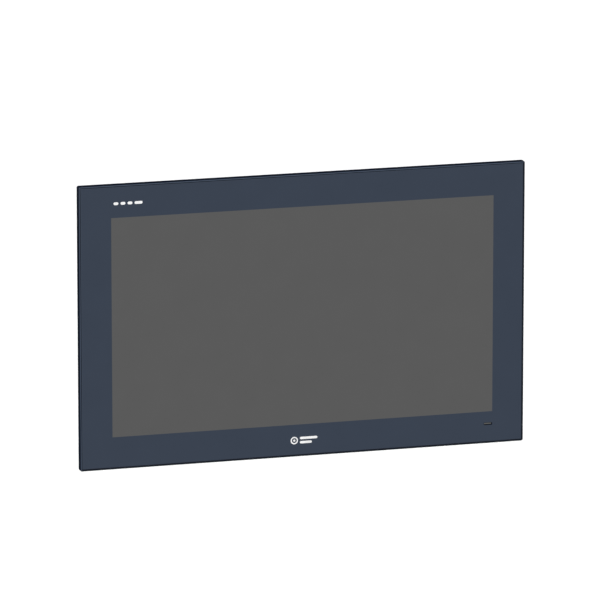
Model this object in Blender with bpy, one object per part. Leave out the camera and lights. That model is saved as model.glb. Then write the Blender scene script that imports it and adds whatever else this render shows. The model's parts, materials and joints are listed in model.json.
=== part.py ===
"""Panel-mounted touch screen with a fanless computer box, as one solid for each piece.

Metres, +Z up. The origin is the centre of the cabinet cutout, on the cabinet wall's outer
surface. The screen faces -Y; everything that passes through the wall lies at +Y.
"""

from math import cos, pi, radians, sin, tau

import bmesh
import bpy
from mathutils import Vector
from mathutils.geometry import delaunay_2d_cdt

# ---------------------------------------------------------------- driving dimensions
GAP = 0.0003  # left between two pieces that touch
STEEL = 0.0012  # sheet thickness of the tray and the box
PCB = 0.0016

# Front: a 21.5 inch 16:9 screen with the same border all round.
SCREEN_WIDTH = 0.4761
SCREEN_HEIGHT = 0.2678
BORDER = 0.0399
FRONT_WIDTH = SCREEN_WIDTH + 2 * BORDER
FRONT_HEIGHT = SCREEN_HEIGHT + 2 * BORDER
FRONT_RADIUS = 0.0025
FRONT_FACE = -0.0095  # the glass and the rim stand this far in front of the wall
FRAME_BACK = -0.0005
RIM = 0.0016
RIM_CHAMFER = 0.0008
GLASS_THICKNESS = 0.0032
GLASS_CHAMFER = 0.0003
SHELF_FACE = -0.0052  # front of the shelf that carries the glass
WINDOW_INSET = 0.0258  # the opening that the display module sits in
RIB_THICKNESS = 0.0024
RIB_END = 0.007

# Seal between the frame and the wall.
GROOVE_INSET = 0.0088
GROOVE_WIDTH = 0.006
GROOVE_FLOOR = -0.0021
GASKET_LIP = 0.001

SEAL_INSETS = (0.003, 0.0208)  # outer and inner edge of the glass seal
FILM = 0.0004  # touch sensor and flex tail

# Status light, at the lower right of the border.
STATUS_X = SCREEN_WIDTH / 2 - 0.0057
STATUS_Z = -SCREEN_HEIGHT / 2 - 0.015
STATUS_WIDTH = 0.0094
STATUS_HEIGHT = 0.002
STATUS_DEPTH = 0.0012
STATUS_FLANGE = 0.001
STATUS_BOARD = 0.001
STATUS_BOARD_HEIGHT = 0.0026

# Display module.
MODULE_WIDTH = 0.4956
MODULE_HEIGHT = 0.292
MODULE_SHEET = 0.0008
MODULE_LIP = 0.0088
MODULE_BACK = 0.0036
MODULE_RADIUS = 0.0015
LAYER_MARGIN = 0.003  # between the module's frame and the layers in it
CELL_THICKNESS = 0.0014
FILMS_THICKNESS = 0.0009
GUIDE_THICKNESS = 0.0028
LIGHT_BAR_HEIGHT = 0.004
BACK_PLATE = 0.001

# Rear tray, which passes through the cutout.
TRAY_INSET = 0.0218
TRAY_WIDTH = FRONT_WIDTH - 2 * TRAY_INSET
TRAY_HEIGHT = FRONT_HEIGHT - 2 * TRAY_INSET
TRAY_RADIUS = 0.002
TRAY_BACK = 0.034
TRAY_CHAMFER = 0.001
CABLE_HOLE = (0.080, 0.050)
CABLE_HOLE_Z = -0.050
VENT_WIDTH = 0.0035
VENT_HEIGHT = 0.040
VENT_PITCH = 0.009
VENT_START = 0.186  # the slots nearest to the computer box
VENT_COLUMNS = 6
VENT_ROWS = (-0.062, 0.0, 0.062)

# Boards on the tray's floor.
TRAY_BOARD_GAP = 0.0025
TRAY_BOARD_BOTTOM, TRAY_BOARD_TOP = -0.138, -0.104
TOUCH_BOARD_LEFT, TOUCH_BOARD_RIGHT = -0.220, -0.130
DRIVER_BOARD_LEFT, DRIVER_BOARD_RIGHT = 0.080, 0.220
TAIL_LEFT, TAIL_RIGHT = -0.190, -0.150  # flex tail of the touch sensor
TAIL_END = 0.016
RIBBON_HALF_WIDTH = 0.022
RIBBON = 0.0006

# Computer box behind the tray.
BOX_WIDTH = 0.330
BOX_HEIGHT = 0.240
BOX_RADIUS = 0.003
BOX_FRONT = TRAY_BACK + GAP
BOX_BACK = 0.066
SINK_BASE = 0.003
SINK_BACK = 0.082
FIN_COUNT = 27
FIN_THICKNESS = 0.0022
FIN_SPAN = 0.306  # from the first fin's outer side to the last one's
BOARD_BACK = 0.0416  # the mainboard's component side
BOARD_LEFT, BOARD_RIGHT = -0.142, 0.092
BOARD_TOP = 0.030
PORT_Y = BOARD_BACK + GAP  # the sockets stand on the mainboard
BOX_BOTTOM = -BOX_HEIGHT / 2
PORT_FACE = BOX_BOTTOM - 0.0006  # socket faces stand this far out of the bottom wall

BOARD_SCREW_RADIUS = 0.0016
STANDOFF_RADIUS = 0.0025
STANDOFF_INSET = 0.006
SPREADER_SIZE = 0.050
SPREADER_PLACE = (-0.070, 0, -0.030)
MEMORY_SIZE = (0.0676, 0.0038, 0.030)
MEMORY_LIFT = 0.002
MEMORY_PLACE = (0.030, 0, -0.020)
CELL_RADIUS = 0.010
CELL_HEIGHT = 0.0032
CELL_PLACE = (0.070, 0, -0.060)

# Places of the ports along the bottom wall.
EARTH_X = -0.152
SWITCH_X = -0.128
DC_X = -0.097
SERIAL_X = -0.058
ETHERNET_X = (-0.022, 0.000)
USB_X = (0.026, 0.047)
RESET_X = 0.070
CONTROL_Y = 0.050  # depth of the earth stud, the switch and the reset button

# Air slots in the box's bottom and top walls.
AIR_WIDTH = 0.004
AIR_LENGTH = 0.020
AIR_PITCH = 0.010
BOTTOM_AIR_START, BOTTOM_AIR_COUNT = 0.086, 7
TOP_AIR_START, TOP_AIR_COUNT = -0.145, 18

# Port bodies: width along X, height along Y.
DC_BODY = (0.019, 0.0115)
DC_MOUTH = (0.016, 0.0079)
DC_MOUTH_START = 0.0018
DC_PROUD = 0.002
DC_END = 0.013
SERIAL_FLANGE = (0.031, 0.0125)
SERIAL_SHELL = (0.0182, 0.0094)
SERIAL_MOUTH = (0.0168, 0.0080)
SERIAL_PROUD = 0.0058
SERIAL_END = 0.010
ETHERNET_BODY = (0.016, 0.0134)
ETHERNET_MOUTH = (0.012, 0.0072)
ETHERNET_LATCH = (0.0062, 0.0020)
ETHERNET_MOUTH_START = 0.0013
ETHERNET_DEPTHS = (0.013, 0.021)  # of the mouth and of the body
USB_BODY = (0.0146, 0.0156)
USB_MOUTH = (0.0126, 0.0051)
USB_MOUTH_STARTS = (0.0014, 0.0091)
USB_DEPTHS = (0.012, 0.0178)

# Power switch: half sizes along X and Y, and depths above the bottom wall.
SWITCH_FLANGE = (0.0120, 0.0088)
SWITCH_BODY = (0.0102, 0.0070)
SWITCH_WELL = (0.0086, 0.0056)
SWITCH_FLANGE_THICKNESS = 0.0018
SWITCH_WELL_DEPTH = 0.0075
SWITCH_BODY_DEPTH = 0.010
ROCKER_HALF_LENGTH = 0.0080
ROCKER_HALF_DEPTH = 0.0052
ROCKER_LIFT = 0.0005  # the rocker's axis, above the bottom wall's outer face
ROCKER_TILT = 9  # degrees, to either side

# Reset button and earth stud, as radii and lengths.
BUTTON_RADIUS = 0.0020
BUTTON_COLLAR = 0.0030
BUTTON_PROUD = 0.0016
STUD_RADIUS = 0.0025
STUD_WASHER = 0.0050
STUD_NUT = 0.0042
STUD_LENGTH = 0.0140
HOLE_PLAY = 0.0004  # round the button and the stud

# Drive caddy, which slides out of the right side.
CADDY_LEFT = 0.056
CADDY_Z = 0.074
CADDY_WIDTH = 0.0730
CADDY_FRONT, CADDY_BACK = 0.046, 0.0545
CADDY_WALL = 0.0012
CADDY_PLATE = 0.0022
CADDY_PLATE_TOP, CADDY_PLATE_BOTTOM = 0.1175, 0.0285
CADDY_PLATE_FRONT, CADDY_PLATE_BACK = 0.043, 0.060
CADDY_RAIL_HALF_SPACING = 0.032
CADDY_RAIL_WIDTH = 0.004
CADDY_GRIP_HALF_HEIGHT = 0.014
CADDY_GRIP_REACH = 0.007
CADDY_GRIP_SHEET = 0.0016
DRIVE_SIZE = (0.100, 0.007, 0.06985)
DRIVE_RADIUS = 0.002
THUMB_Y, THUMB_Z = 0.0515, 0.0330
THUMB_TIP = 0.0015
THUMB_HOLE = 0.0018
THUMB_KNOB = 0.0040
THUMB_KNOB_LENGTH = 0.005
THUMB_REACH = 0.0045  # how far the tip stands inside the box's wall

# Mounting clamps: three along the top, three along the bottom, one on each side.
CLAMP_SPACING = 0.170
CLAMP_REACH = 0.0085  # from the tray's wall to the screw's axis
CLAMP_HALF_WIDTH = 0.008
CLAMP_SHEET = 0.002
CLAMP_BASE = (0.009, 0.024)
CLAMP_LUG = (0.017, 0.020)
CLAMP_LUG_TOP = 0.013
HOOK_DEPTHS = (0.011, 0.021)
HOOK_THICKNESS = 0.0015
HOOK_HALF_WIDTH = 0.005
HOOK_REACH = 0.0032
HOOK_PLAY = 0.0004
PAD_FACE = 0.0065  # the clamps stand open at rest
SCREW_RADIUS = 0.002
SCREW_TIP = 0.0015
SCREW_HOLE = 0.00205
PAD_BORE = 0.0016
PAD_RADIUS = 0.0042
PAD_LENGTH = 0.0035
PAD_FLOOR = 0.0009
HEAD_RADIUS = 0.0035
HEAD_START = 0.027
HEAD_LENGTH = 0.0028
HEX_RADIUS = 0.0015
HEX_DEPTH = 0.0018

ROUND_SIDES = 12
SMOOTH_ANGLE = 35  # degrees: sharper edges stay crisp
SMALL_CORNER = 0.0004
TRIANGLES_OUTSIDE_HOLES = 2  # how delaunay_2d_cdt is asked to fill an outline
CDT_MERGE = 1e-7


# ---------------------------------------------------------------- modelling helpers
def rounded_rectangle(width, height, radius, segments=3):
    """Corner-rounded outline about the origin, anticlockwise."""
    points = []
    for quarter, (sx, sy) in enumerate(((1, 1), (-1, 1), (-1, -1), (1, -1))):
        centre_x = sx * (width / 2 - radius)
        centre_y = sy * (height / 2 - radius)
        for step in range(segments + 1):
            angle = quarter * pi / 2 + step / segments * pi / 2
            points.append((centre_x + radius * cos(angle), centre_y + radius * sin(angle)))
    return points


def rectangle(low_u, low_v, high_u, high_v):
    return [(low_u, low_v), (high_u, low_v), (high_u, high_v), (low_u, high_v)]


def circle(radius, sides=ROUND_SIDES, centre=(0, 0)):
    return [
        (centre[0] + radius * cos(tau * n / sides), centre[1] + radius * sin(tau * n / sides))
        for n in range(sides)
    ]


def slot(centre_u, centre_v, width, height, segments=4):
    """Upright slot with round ends."""
    radius = width / 2
    points = []
    for end in (1, -1):
        end_v = centre_v + end * (height / 2 - radius)
        for step in range(segments + 1):
            angle = step / segments * pi
            points.append((centre_u + end * radius * cos(angle), end_v + end * radius * sin(angle)))
    return points


def at(axis, u, v, along):
    """A point from its place across an axis and its place along it."""
    return {"X": Vector((along, u, v)), "Y": Vector((u, along, v)), "Z": Vector((u, v, along))}[axis]


def close(bm, name):
    """Turns a finished bmesh into a mesh whose faces point outwards."""
    bmesh.ops.recalc_face_normals(bm, faces=bm.faces)
    mesh = bpy.data.meshes.new(name)
    bm.to_mesh(mesh)
    bm.free()
    return mesh


def bridge(bm, ring, next_ring):
    count = len(ring)
    for n in range(count):
        bm.faces.new((ring[n], ring[(n + 1) % count], next_ring[(n + 1) % count], next_ring[n]))


def cap(bm, ring, holes=(), axis="Y"):
    """Closes a flat ring that faces along an axis, leaving its holes open."""
    if not holes:
        bm.faces.new(ring)
        return
    across = [n for n in range(3) if n != "XYZ".index(axis)]
    corners, outlines = [], []
    for one in (ring, *holes):
        outlines.append(list(range(len(corners), len(corners) + len(one))))
        corners += one
    points = [Vector([vert.co[n] for n in across]) for vert in corners]
    filled = delaunay_2d_cdt(points, [], outlines, TRIANGLES_OUTSIDE_HOLES, CDT_MERGE)
    triangles, sources = filled[2], filled[3]
    for triangle in triangles:
        bm.faces.new([corners[sources[n][0]] for n in triangle])


def loft(axis, sections, ring_shaped=False, holes=()):
    """Skins a list of (outline, along). The ends are capped unless the skin closes on itself.

    Holes run straight through between the first section and the last one.
    """
    bm = bmesh.new()
    rings = [[bm.verts.new(at(axis, u, v, along)) for u, v in line] for line, along in sections]
    for ring, next_ring in zip(rings, rings[1:]):
        bridge(bm, ring, next_ring)
    if ring_shaped:
        bridge(bm, rings[-1], rings[0])
        return close(bm, "ring")
    ends = []
    for ring, (_, along) in ((rings[0], sections[0]), (rings[-1], sections[-1])):
        edges = [[bm.verts.new(at(axis, u, v, along)) for u, v in hole] for hole in holes]
        cap(bm, ring, edges, axis)
        ends.append(edges)
    for first, last in zip(*ends):
        bridge(bm, first, last)
    return close(bm, "loft")


def prism(axis, outline, low, high, holes=()):
    return loft(axis, [(outline, low), (outline, high)], holes=holes)


def box(low, high):
    return prism("Z", rectangle(low[0], low[1], high[0], high[1]), low[2], high[2])


def turned(axis, profile, sides=ROUND_SIDES, centre=(0, 0)):
    """Turns a list of (radius, along) about an axis."""
    return loft(axis, [(circle(radius, sides, centre), along) for radius, along in profile])


def framed(width, height, radius, profile, ring_shaped=True, holes=()):
    """Sweeps a profile of (inset, depth) round a rounded rectangle that faces along Y."""
    sections = []
    for inset, depth in profile:
        corner = max(radius - inset, SMALL_CORNER)
        outline = rounded_rectangle(width - 2 * inset, height - 2 * inset, corner)
        sections.append((outline, depth))
    return loft("Y", sections, ring_shaped, holes)


def socket(axis, outline, cavities, face, cavity_end, back):
    """A solid body with one or more blind cavities that open in its face."""
    bm = bmesh.new()

    def ring(points, along):
        return [bm.verts.new(at(axis, u, v, along)) for u, v in points]

    front, rear = ring(outline, face), ring(outline, back)
    mouths = [ring(cavity, face) for cavity in cavities]
    bridge(bm, front, rear)
    cap(bm, front, mouths, axis)
    cap(bm, rear)
    for cavity, mouth in zip(cavities, mouths):
        floor = ring(cavity, cavity_end)
        bridge(bm, mouth, floor)
        cap(bm, floor)
    return close(bm, "socket")


def together(meshes):
    """Separate closed meshes as one mesh, for use as a boolean tool."""
    bm = bmesh.new()
    for mesh in meshes:
        bm.from_mesh(mesh)
    return close(bm, "tools")


def boolean(mesh, tools, operation):
    """The mesh after one boolean with all its tools, which don't touch each other."""
    target = bpy.data.objects.new("boolean_target", mesh)
    tool = bpy.data.objects.new("boolean_tool", together(tools))
    for helper in (target, tool):
        bpy.context.scene.collection.objects.link(helper)
    modifier = target.modifiers.new("boolean", "BOOLEAN")
    modifier.operation = operation
    modifier.object = tool
    depsgraph = bpy.context.evaluated_depsgraph_get()
    result = bpy.data.meshes.new_from_object(target.evaluated_get(depsgraph))
    for helper in (target, tool):
        bpy.data.objects.remove(helper)
    return result


def cut(mesh, *tools):
    return boolean(mesh, tools, "DIFFERENCE")


def joined(mesh, *tools):
    return boolean(mesh, tools, "UNION")


# ---------------------------------------------------------------- materials and placing
def finish(name, colour, roughness, metallic=0.0):
    material = bpy.data.materials.new(name)
    material.use_nodes = True
    shader = material.node_tree.nodes["Principled BSDF"]
    shader.inputs["Base Color"].default_value = (*colour, 1)
    shader.inputs["Roughness"].default_value = roughness
    shader.inputs["Metallic"].default_value = metallic
    return material


def make_finishes():
    return {
        "frame_paint": finish("frame_paint", (0.043, 0.055, 0.080), 0.45),
        "front_glass": finish("front_glass", (0.043, 0.055, 0.080), 0.25),
        "screen": finish("screen", (0.10, 0.10, 0.10), 0.3),
        "black_rubber": finish("black_rubber", (0.02, 0.02, 0.02), 0.8),
        "clear_plastic": finish("clear_plastic", (0.75, 0.78, 0.78), 0.15),
        "film": finish("film", (0.6, 0.62, 0.62), 0.3),
        "circuit_board": finish("circuit_board", (0.02, 0.16, 0.06), 0.5),
        "zinc_steel": finish("zinc_steel", (0.62, 0.63, 0.64), 0.4, 0.9),
        "steel_screw": finish("steel_screw", (0.55, 0.55, 0.56), 0.3, 1.0),
        "sink_aluminium": finish("sink_aluminium", (0.10, 0.10, 0.11), 0.5, 0.6),
        "bare_aluminium": finish("bare_aluminium", (0.75, 0.76, 0.77), 0.35, 1.0),
        "black_plastic": finish("black_plastic", (0.03, 0.03, 0.03), 0.5),
        "green_plastic": finish("green_plastic", (0.05, 0.30, 0.14), 0.5),
        "pad_plastic": finish("pad_plastic", (0.05, 0.05, 0.055), 0.5),
        "red_plastic": finish("red_plastic", (0.45, 0.03, 0.02), 0.4),
        "brass": finish("brass", (0.70, 0.55, 0.25), 0.3, 1.0),
    }


FINISHES = {}


def add(name, mesh, finish_name, location=(0, 0, 0), rotation=(0, 0, 0), parent=None):
    """Places one piece, whose origin is at its location."""
    piece = bpy.data.objects.new(name, mesh)
    bpy.context.scene.collection.objects.link(piece)
    piece.location = location
    piece.rotation_euler = rotation
    piece.parent = parent
    if not mesh.materials:
        mesh.materials.append(FINISHES[finish_name])
        mesh.shade_smooth()
        mesh.set_sharp_from_angle(angle=radians(SMOOTH_ANGLE))


def add_axis(name, location, rotation=(0, 0, 0)):
    """Places an empty on a joint's axis, for the pieces that move about it."""
    axis = bpy.data.objects.new(name, None)
    bpy.context.scene.collection.objects.link(axis)
    axis.location = location
    axis.rotation_euler = rotation
    return axis


# ---------------------------------------------------------------- front
def glass_back():
    return FRONT_FACE + GLASS_THICKNESS


def make_front_frame():
    rib_outer = WINDOW_INSET - RIB_THICKNESS  # just inside the tray's wall
    groove_end = GROOVE_INSET + GROOVE_WIDTH
    profile = [
        (0, FRAME_BACK),
        (0, FRONT_FACE + RIM_CHAMFER),
        (RIM_CHAMFER, FRONT_FACE),
        (RIM, FRONT_FACE),
        (RIM, SHELF_FACE),
        (WINDOW_INSET, SHELF_FACE),
        (WINDOW_INSET, RIB_END),
        (rib_outer, RIB_END),
        (rib_outer, FRAME_BACK),
        (groove_end, FRAME_BACK),
        (groove_end, GROOVE_FLOOR),
        (GROOVE_INSET, GROOVE_FLOOR),
        (GROOVE_INSET, FRAME_BACK),
    ]
    frame = framed(FRONT_WIDTH, FRONT_HEIGHT, FRONT_RADIUS, profile)
    # A notch through the shelf and the rib takes the status light.
    notch_width = STATUS_WIDTH + 0.005
    shelf_edge = -FRONT_HEIGHT / 2 + WINDOW_INSET
    beyond = 0.001  # the cutter stands past the faces that it cuts
    notch = box(
        (STATUS_X - notch_width / 2, SHELF_FACE - beyond, STATUS_Z - 0.0016),
        (STATUS_X + notch_width / 2, RIB_END + beyond, shelf_edge + beyond),
    )
    add("front_frame", cut(frame, notch), "frame_paint")


def make_cover_glass():
    edge = RIM + GAP
    profile = [
        (edge + GLASS_CHAMFER, FRONT_FACE),
        (edge, FRONT_FACE + GLASS_CHAMFER),
        (edge, glass_back()),
    ]
    window = rounded_rectangle(STATUS_WIDTH, STATUS_HEIGHT, STATUS_HEIGHT * 0.3)
    window = [(STATUS_X + u, STATUS_Z + v) for u, v in window]
    glass = framed(FRONT_WIDTH, FRONT_HEIGHT, FRONT_RADIUS, profile, False, [window])
    add("cover_glass", glass, "front_glass")


def make_glass_seal():
    front = glass_back() + GAP
    back = SHELF_FACE - GAP
    outer, inner = SEAL_INSETS
    profile = [(outer, front), (outer, back), (inner, back), (inner, front)]
    add("glass_seal", framed(FRONT_WIDTH, FRONT_HEIGHT, FRONT_RADIUS, profile), "black_rubber")


def make_panel_gasket():
    outer = GROOVE_INSET + GAP
    inner = GROOVE_INSET + GROOVE_WIDTH - GAP
    floor = GROOVE_FLOOR + GAP
    shoulder = FRAME_BACK - GAP
    profile = [
        (outer, floor),
        (outer, shoulder),
        (outer + GASKET_LIP, 0),
        (inner - GASKET_LIP, 0),
        (inner, shoulder),
        (inner, floor),
    ]
    add("panel_gasket", framed(FRONT_WIDTH, FRONT_HEIGHT, FRONT_RADIUS, profile), "black_rubber")


def make_touch_sensor():
    margin = 0.005
    front = glass_back() + GAP
    half_width = SCREEN_WIDTH / 2 + margin
    half_height = SCREEN_HEIGHT / 2 + margin
    sheet = box((-half_width, front, -half_height), (half_width, front + FILM, half_height))
    # The tail runs down to the gap below the display module and back into the tray.
    root = 0.001 - half_height
    bottom = -FRONT_HEIGHT / 2 + WINDOW_INSET + 2 * GAP
    tail = [
        (front, root),
        (front, bottom),
        (TAIL_END, bottom),
        (TAIL_END, bottom + FILM),
        (front + FILM, bottom + FILM),
        (front + FILM, root),
    ]
    add("touch_sensor", joined(sheet, prism("X", tail, TAIL_LEFT, TAIL_RIGHT)), "film")


def make_status_light():
    place = (STATUS_X, 0, STATUS_Z)
    face = FRONT_FACE + STATUS_DEPTH
    shoulder = glass_back() + GAP
    back = shoulder + STATUS_FLANGE
    lens = rounded_rectangle(STATUS_WIDTH - 2 * GAP, STATUS_HEIGHT - 2 * GAP, SMALL_CORNER)
    flange = rounded_rectangle(STATUS_WIDTH + 0.001, STATUS_HEIGHT + 0.0008, SMALL_CORNER)
    pipe = loft("Y", [(lens, face), (lens, shoulder), (flange, shoulder), (flange, back)])
    add("status_light_pipe", pipe, "clear_plastic", place)

    outline = rounded_rectangle(STATUS_WIDTH + 0.002, STATUS_BOARD_HEIGHT, SMALL_CORNER)
    board = prism("Y", outline, back + GAP, back + GAP + STATUS_BOARD)
    add("status_led_board", board, "circuit_board", place)


# ---------------------------------------------------------------- display module
def make_display():
    front = glass_back() + GAP + FILM + GAP
    lip_back = front + MODULE_SHEET
    profile = [
        (0, front),
        (0, MODULE_BACK),
        (MODULE_SHEET, MODULE_BACK),
        (MODULE_SHEET, lip_back),
        (MODULE_LIP, lip_back),
        (MODULE_LIP, front),
    ]
    add("lcd_bezel", framed(MODULE_WIDTH, MODULE_HEIGHT, MODULE_RADIUS, profile), "zinc_steel")

    inner_width = MODULE_WIDTH - 2 * MODULE_SHEET - 2 * GAP
    inner_height = MODULE_HEIGHT - 2 * MODULE_SHEET - 2 * GAP
    width = inner_width - 2 * LAYER_MARGIN
    height = inner_height - 2 * LAYER_MARGIN

    def layer(name, start, thickness, finish_name, bottom=-height / 2, top=height / 2):
        piece = box((-width / 2, start, bottom), (width / 2, start + thickness, top))
        add(name, piece, finish_name)
        return start + thickness + GAP

    depth = layer("lcd_cell", lip_back + GAP, CELL_THICKNESS, "screen")
    depth = layer("optical_films", depth, FILMS_THICKNESS, "film")
    # The light bar shares the light guide's depth, along the module's lower edge.
    bar_top = LIGHT_BAR_HEIGHT - height / 2
    layer("led_bar", depth, GUIDE_THICKNESS, "circuit_board", top=bar_top)
    depth = layer("light_guide", depth, GUIDE_THICKNESS, "clear_plastic", bottom=bar_top + GAP)
    plate = rounded_rectangle(inner_width, inner_height, SMALL_CORNER)
    add("lcd_back_plate", prism("Y", plate, depth, depth + BACK_PLATE), "zinc_steel")


# ---------------------------------------------------------------- tray and what it holds
def cable_hole():
    half_width, half_height = CABLE_HOLE[0] / 2, CABLE_HOLE[1] / 2
    return rectangle(
        -half_width, CABLE_HOLE_Z - half_height, half_width, CABLE_HOLE_Z + half_height
    )


def tray_vents():
    """Two groups of upright slots, left and right of the computer box."""
    vents = []
    for side in (-1, 1):
        for row in VENT_ROWS:
            for column in range(VENT_COLUMNS):
                place = side * (VENT_START + VENT_PITCH * column)
                vents.append(slot(place, row, VENT_WIDTH, VENT_HEIGHT))
    return vents


def clamp_places():
    """For each clamp, the point on the tray's wall where it hooks in and its turn about Y."""
    places = []
    for turn, distance in ((0, TRAY_HEIGHT / 2), (180, -TRAY_HEIGHT / 2)):
        for column in (-1, 0, 1):
            places.append(((column * CLAMP_SPACING, 0, distance), radians(turn)))
    places.append(((-TRAY_WIDTH / 2, 0, 0), radians(-90)))
    places.append(((TRAY_WIDTH / 2, 0, 0), radians(90)))
    return places


def hook_cutters():
    cutters = []
    half_width = HOOK_HALF_WIDTH + HOOK_PLAY
    for (x, _, z), turn in clamp_places():
        for depth in HOOK_DEPTHS:
            low = Vector((-half_width, depth - HOOK_PLAY, -2 * STEEL))
            high = Vector((half_width, depth + HOOK_THICKNESS + HOOK_PLAY, STEEL))
            cutter = box(low, high)
            for vert in cutter.vertices:
                u, v, w = vert.co
                vert.co = (x + u * cos(turn) + w * sin(turn), v, z - u * sin(turn) + w * cos(turn))
            cutters.append(cutter)
    return cutters


def make_rear_tray():
    profile = [
        (STEEL, TRAY_BACK - STEEL),
        (STEEL, FRAME_BACK + GAP),
        (0, FRAME_BACK + GAP),
        (0, TRAY_BACK - TRAY_CHAMFER),
        (TRAY_CHAMFER, TRAY_BACK),
    ]
    holes = [cable_hole(), *tray_vents()]
    tray = framed(TRAY_WIDTH, TRAY_HEIGHT, TRAY_RADIUS, profile, False, holes)
    add("rear_tray", cut(tray, *hook_cutters()), "zinc_steel")


def make_tray_board(name, left, right, parts):
    """A circuit board on the tray's floor, with its tall parts as (x, z, width, height, depth)."""
    back = TRAY_BACK - STEEL - TRAY_BOARD_GAP
    front = back - PCB
    board = box((left, front, TRAY_BOARD_BOTTOM), (right, back, TRAY_BOARD_TOP))
    blocks = [
        box(
            (x - width / 2, front - depth, z - height / 2),
            (x + width / 2, front + PCB / 2, z + height / 2),
        )
        for x, z, width, height, depth in parts
    ]
    add(name, joined(board, *blocks), "circuit_board")


def make_tray_contents():
    connector = (-0.170, -0.131, 0.044, 0.006, 0.005)
    controller = (-0.172, -0.115, 0.014, 0.014, 0.0014)
    make_tray_board(
        "touch_controller", TOUCH_BOARD_LEFT, TOUCH_BOARD_RIGHT, [connector, controller]
    )
    coils = [(0.100 + 0.030 * n, -0.121, 0.016, 0.016, 0.010) for n in range(4)]
    make_tray_board("backlight_driver", DRIVER_BOARD_LEFT, DRIVER_BOARD_RIGHT, coils)

    # Flat ribbon from the display module, through the floors of tray and box, to the mainboard.
    near, far = MODULE_BACK + GAP, BOARD_BACK - PCB - GAP
    rise = CABLE_HOLE_Z
    foot, head = rise - 0.020, rise + 0.018
    outline = [
        (near, foot),
        (near, rise),
        (far - RIBBON, rise),
        (far - RIBBON, head),
        (far, head),
        (far, rise - RIBBON),
        (near + RIBBON, rise - RIBBON),
        (near + RIBBON, foot),
    ]
    ribbon = prism("X", outline, -RIBBON_HALF_WIDTH, RIBBON_HALF_WIDTH)
    add("display_cable", ribbon, "black_plastic")


# ---------------------------------------------------------------- computer box
def port_outline(x, size):
    """Outline of a port body, seen along Z: it stands on the mainboard."""
    return rectangle(x - size[0] / 2, PORT_Y, x + size[0] / 2, PORT_Y + size[1])


def port_outlines():
    outlines = [port_outline(DC_X, DC_BODY), port_outline(SERIAL_X, SERIAL_FLANGE)]
    outlines += [port_outline(x, ETHERNET_BODY) for x in ETHERNET_X]
    outlines += [port_outline(x, USB_BODY) for x in USB_X]
    return outlines


def bottom_cutters():
    """What is cut out of the bottom wall: ports, switch, button, stud and air slots."""
    openings = []
    for (left, front), _, (right, back), _ in port_outlines():
        openings.append(rectangle(left - GAP, front - GAP, right + GAP, back + GAP))
    half_width, half_depth = SWITCH_BODY[0] + GAP, SWITCH_BODY[1] + GAP
    openings.append(
        rectangle(
            SWITCH_X - half_width,
            CONTROL_Y - half_depth,
            SWITCH_X + half_width,
            CONTROL_Y + half_depth,
        )
    )
    openings.append(circle(BUTTON_RADIUS + HOLE_PLAY, centre=(RESET_X, CONTROL_Y)))
    openings.append(circle(STUD_RADIUS + HOLE_PLAY, centre=(EARTH_X, CONTROL_Y)))
    for column in range(BOTTOM_AIR_COUNT):
        x = BOTTOM_AIR_START + AIR_PITCH * column
        openings.append(slot(x, CONTROL_Y, AIR_WIDTH, AIR_LENGTH))
    return [prism("Z", one, BOX_BOTTOM - STEEL, BOX_BOTTOM + 2 * STEEL) for one in openings]


def top_cutters():
    low, high = -BOX_BOTTOM - 2 * STEEL, -BOX_BOTTOM + STEEL
    places = [TOP_AIR_START + AIR_PITCH * column for column in range(TOP_AIR_COUNT)]
    return [prism("Z", slot(x, CONTROL_Y, AIR_WIDTH, AIR_LENGTH), low, high) for x in places]


def board_screw_places():
    return [
        (x, z)
        for x in (BOARD_LEFT + STANDOFF_INSET, BOARD_RIGHT - STANDOFF_INSET)
        for z in (BOX_BOTTOM + 0.010, BOARD_TOP - STANDOFF_INSET)
    ]


def make_box_chassis():
    floor = BOX_FRONT + STEEL
    profile = [(STEEL, floor), (STEEL, BOX_BACK), (0, BOX_BACK), (0, BOX_FRONT)]
    chassis = framed(BOX_WIDTH, BOX_HEIGHT, BOX_RADIUS, profile, False, [cable_hole()])
    bottom, top = floor - STEEL / 2, BOARD_BACK - PCB - GAP
    standoffs = [
        turned("Y", [(STANDOFF_RADIUS, bottom), (STANDOFF_RADIUS, top)], 8, place)
        for place in board_screw_places()
    ]
    bay_front = CADDY_FRONT - 2 * GAP
    rails = []
    for side in (-1, 1):
        middle = CADDY_Z + side * CADDY_RAIL_HALF_SPACING
        low = (CADDY_LEFT + 0.004, bottom, middle - CADDY_RAIL_WIDTH / 2)
        high = (BOX_WIDTH / 2 - 0.014, bay_front, middle + CADDY_RAIL_WIDTH / 2)
        rails.append(box(low, high))
    wall_low, wall_high = BOX_WIDTH / 2 - 2 * STEEL, BOX_WIDTH / 2 + STEEL
    half_bay = CADDY_WIDTH / 2 + 2 * GAP
    bay = box(
        (wall_low, bay_front, CADDY_Z - half_bay),
        (wall_high, CADDY_BACK + 2 * GAP, CADDY_Z + half_bay),
    )
    thumb_hole = prism("X", circle(THUMB_HOLE, centre=(THUMB_Y, THUMB_Z)), wall_low, wall_high)
    chassis = joined(chassis, *standoffs, *rails)
    chassis = cut(chassis, bay, thumb_hole, *bottom_cutters(), *top_cutters())
    add("box_chassis", chassis, "zinc_steel")


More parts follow.
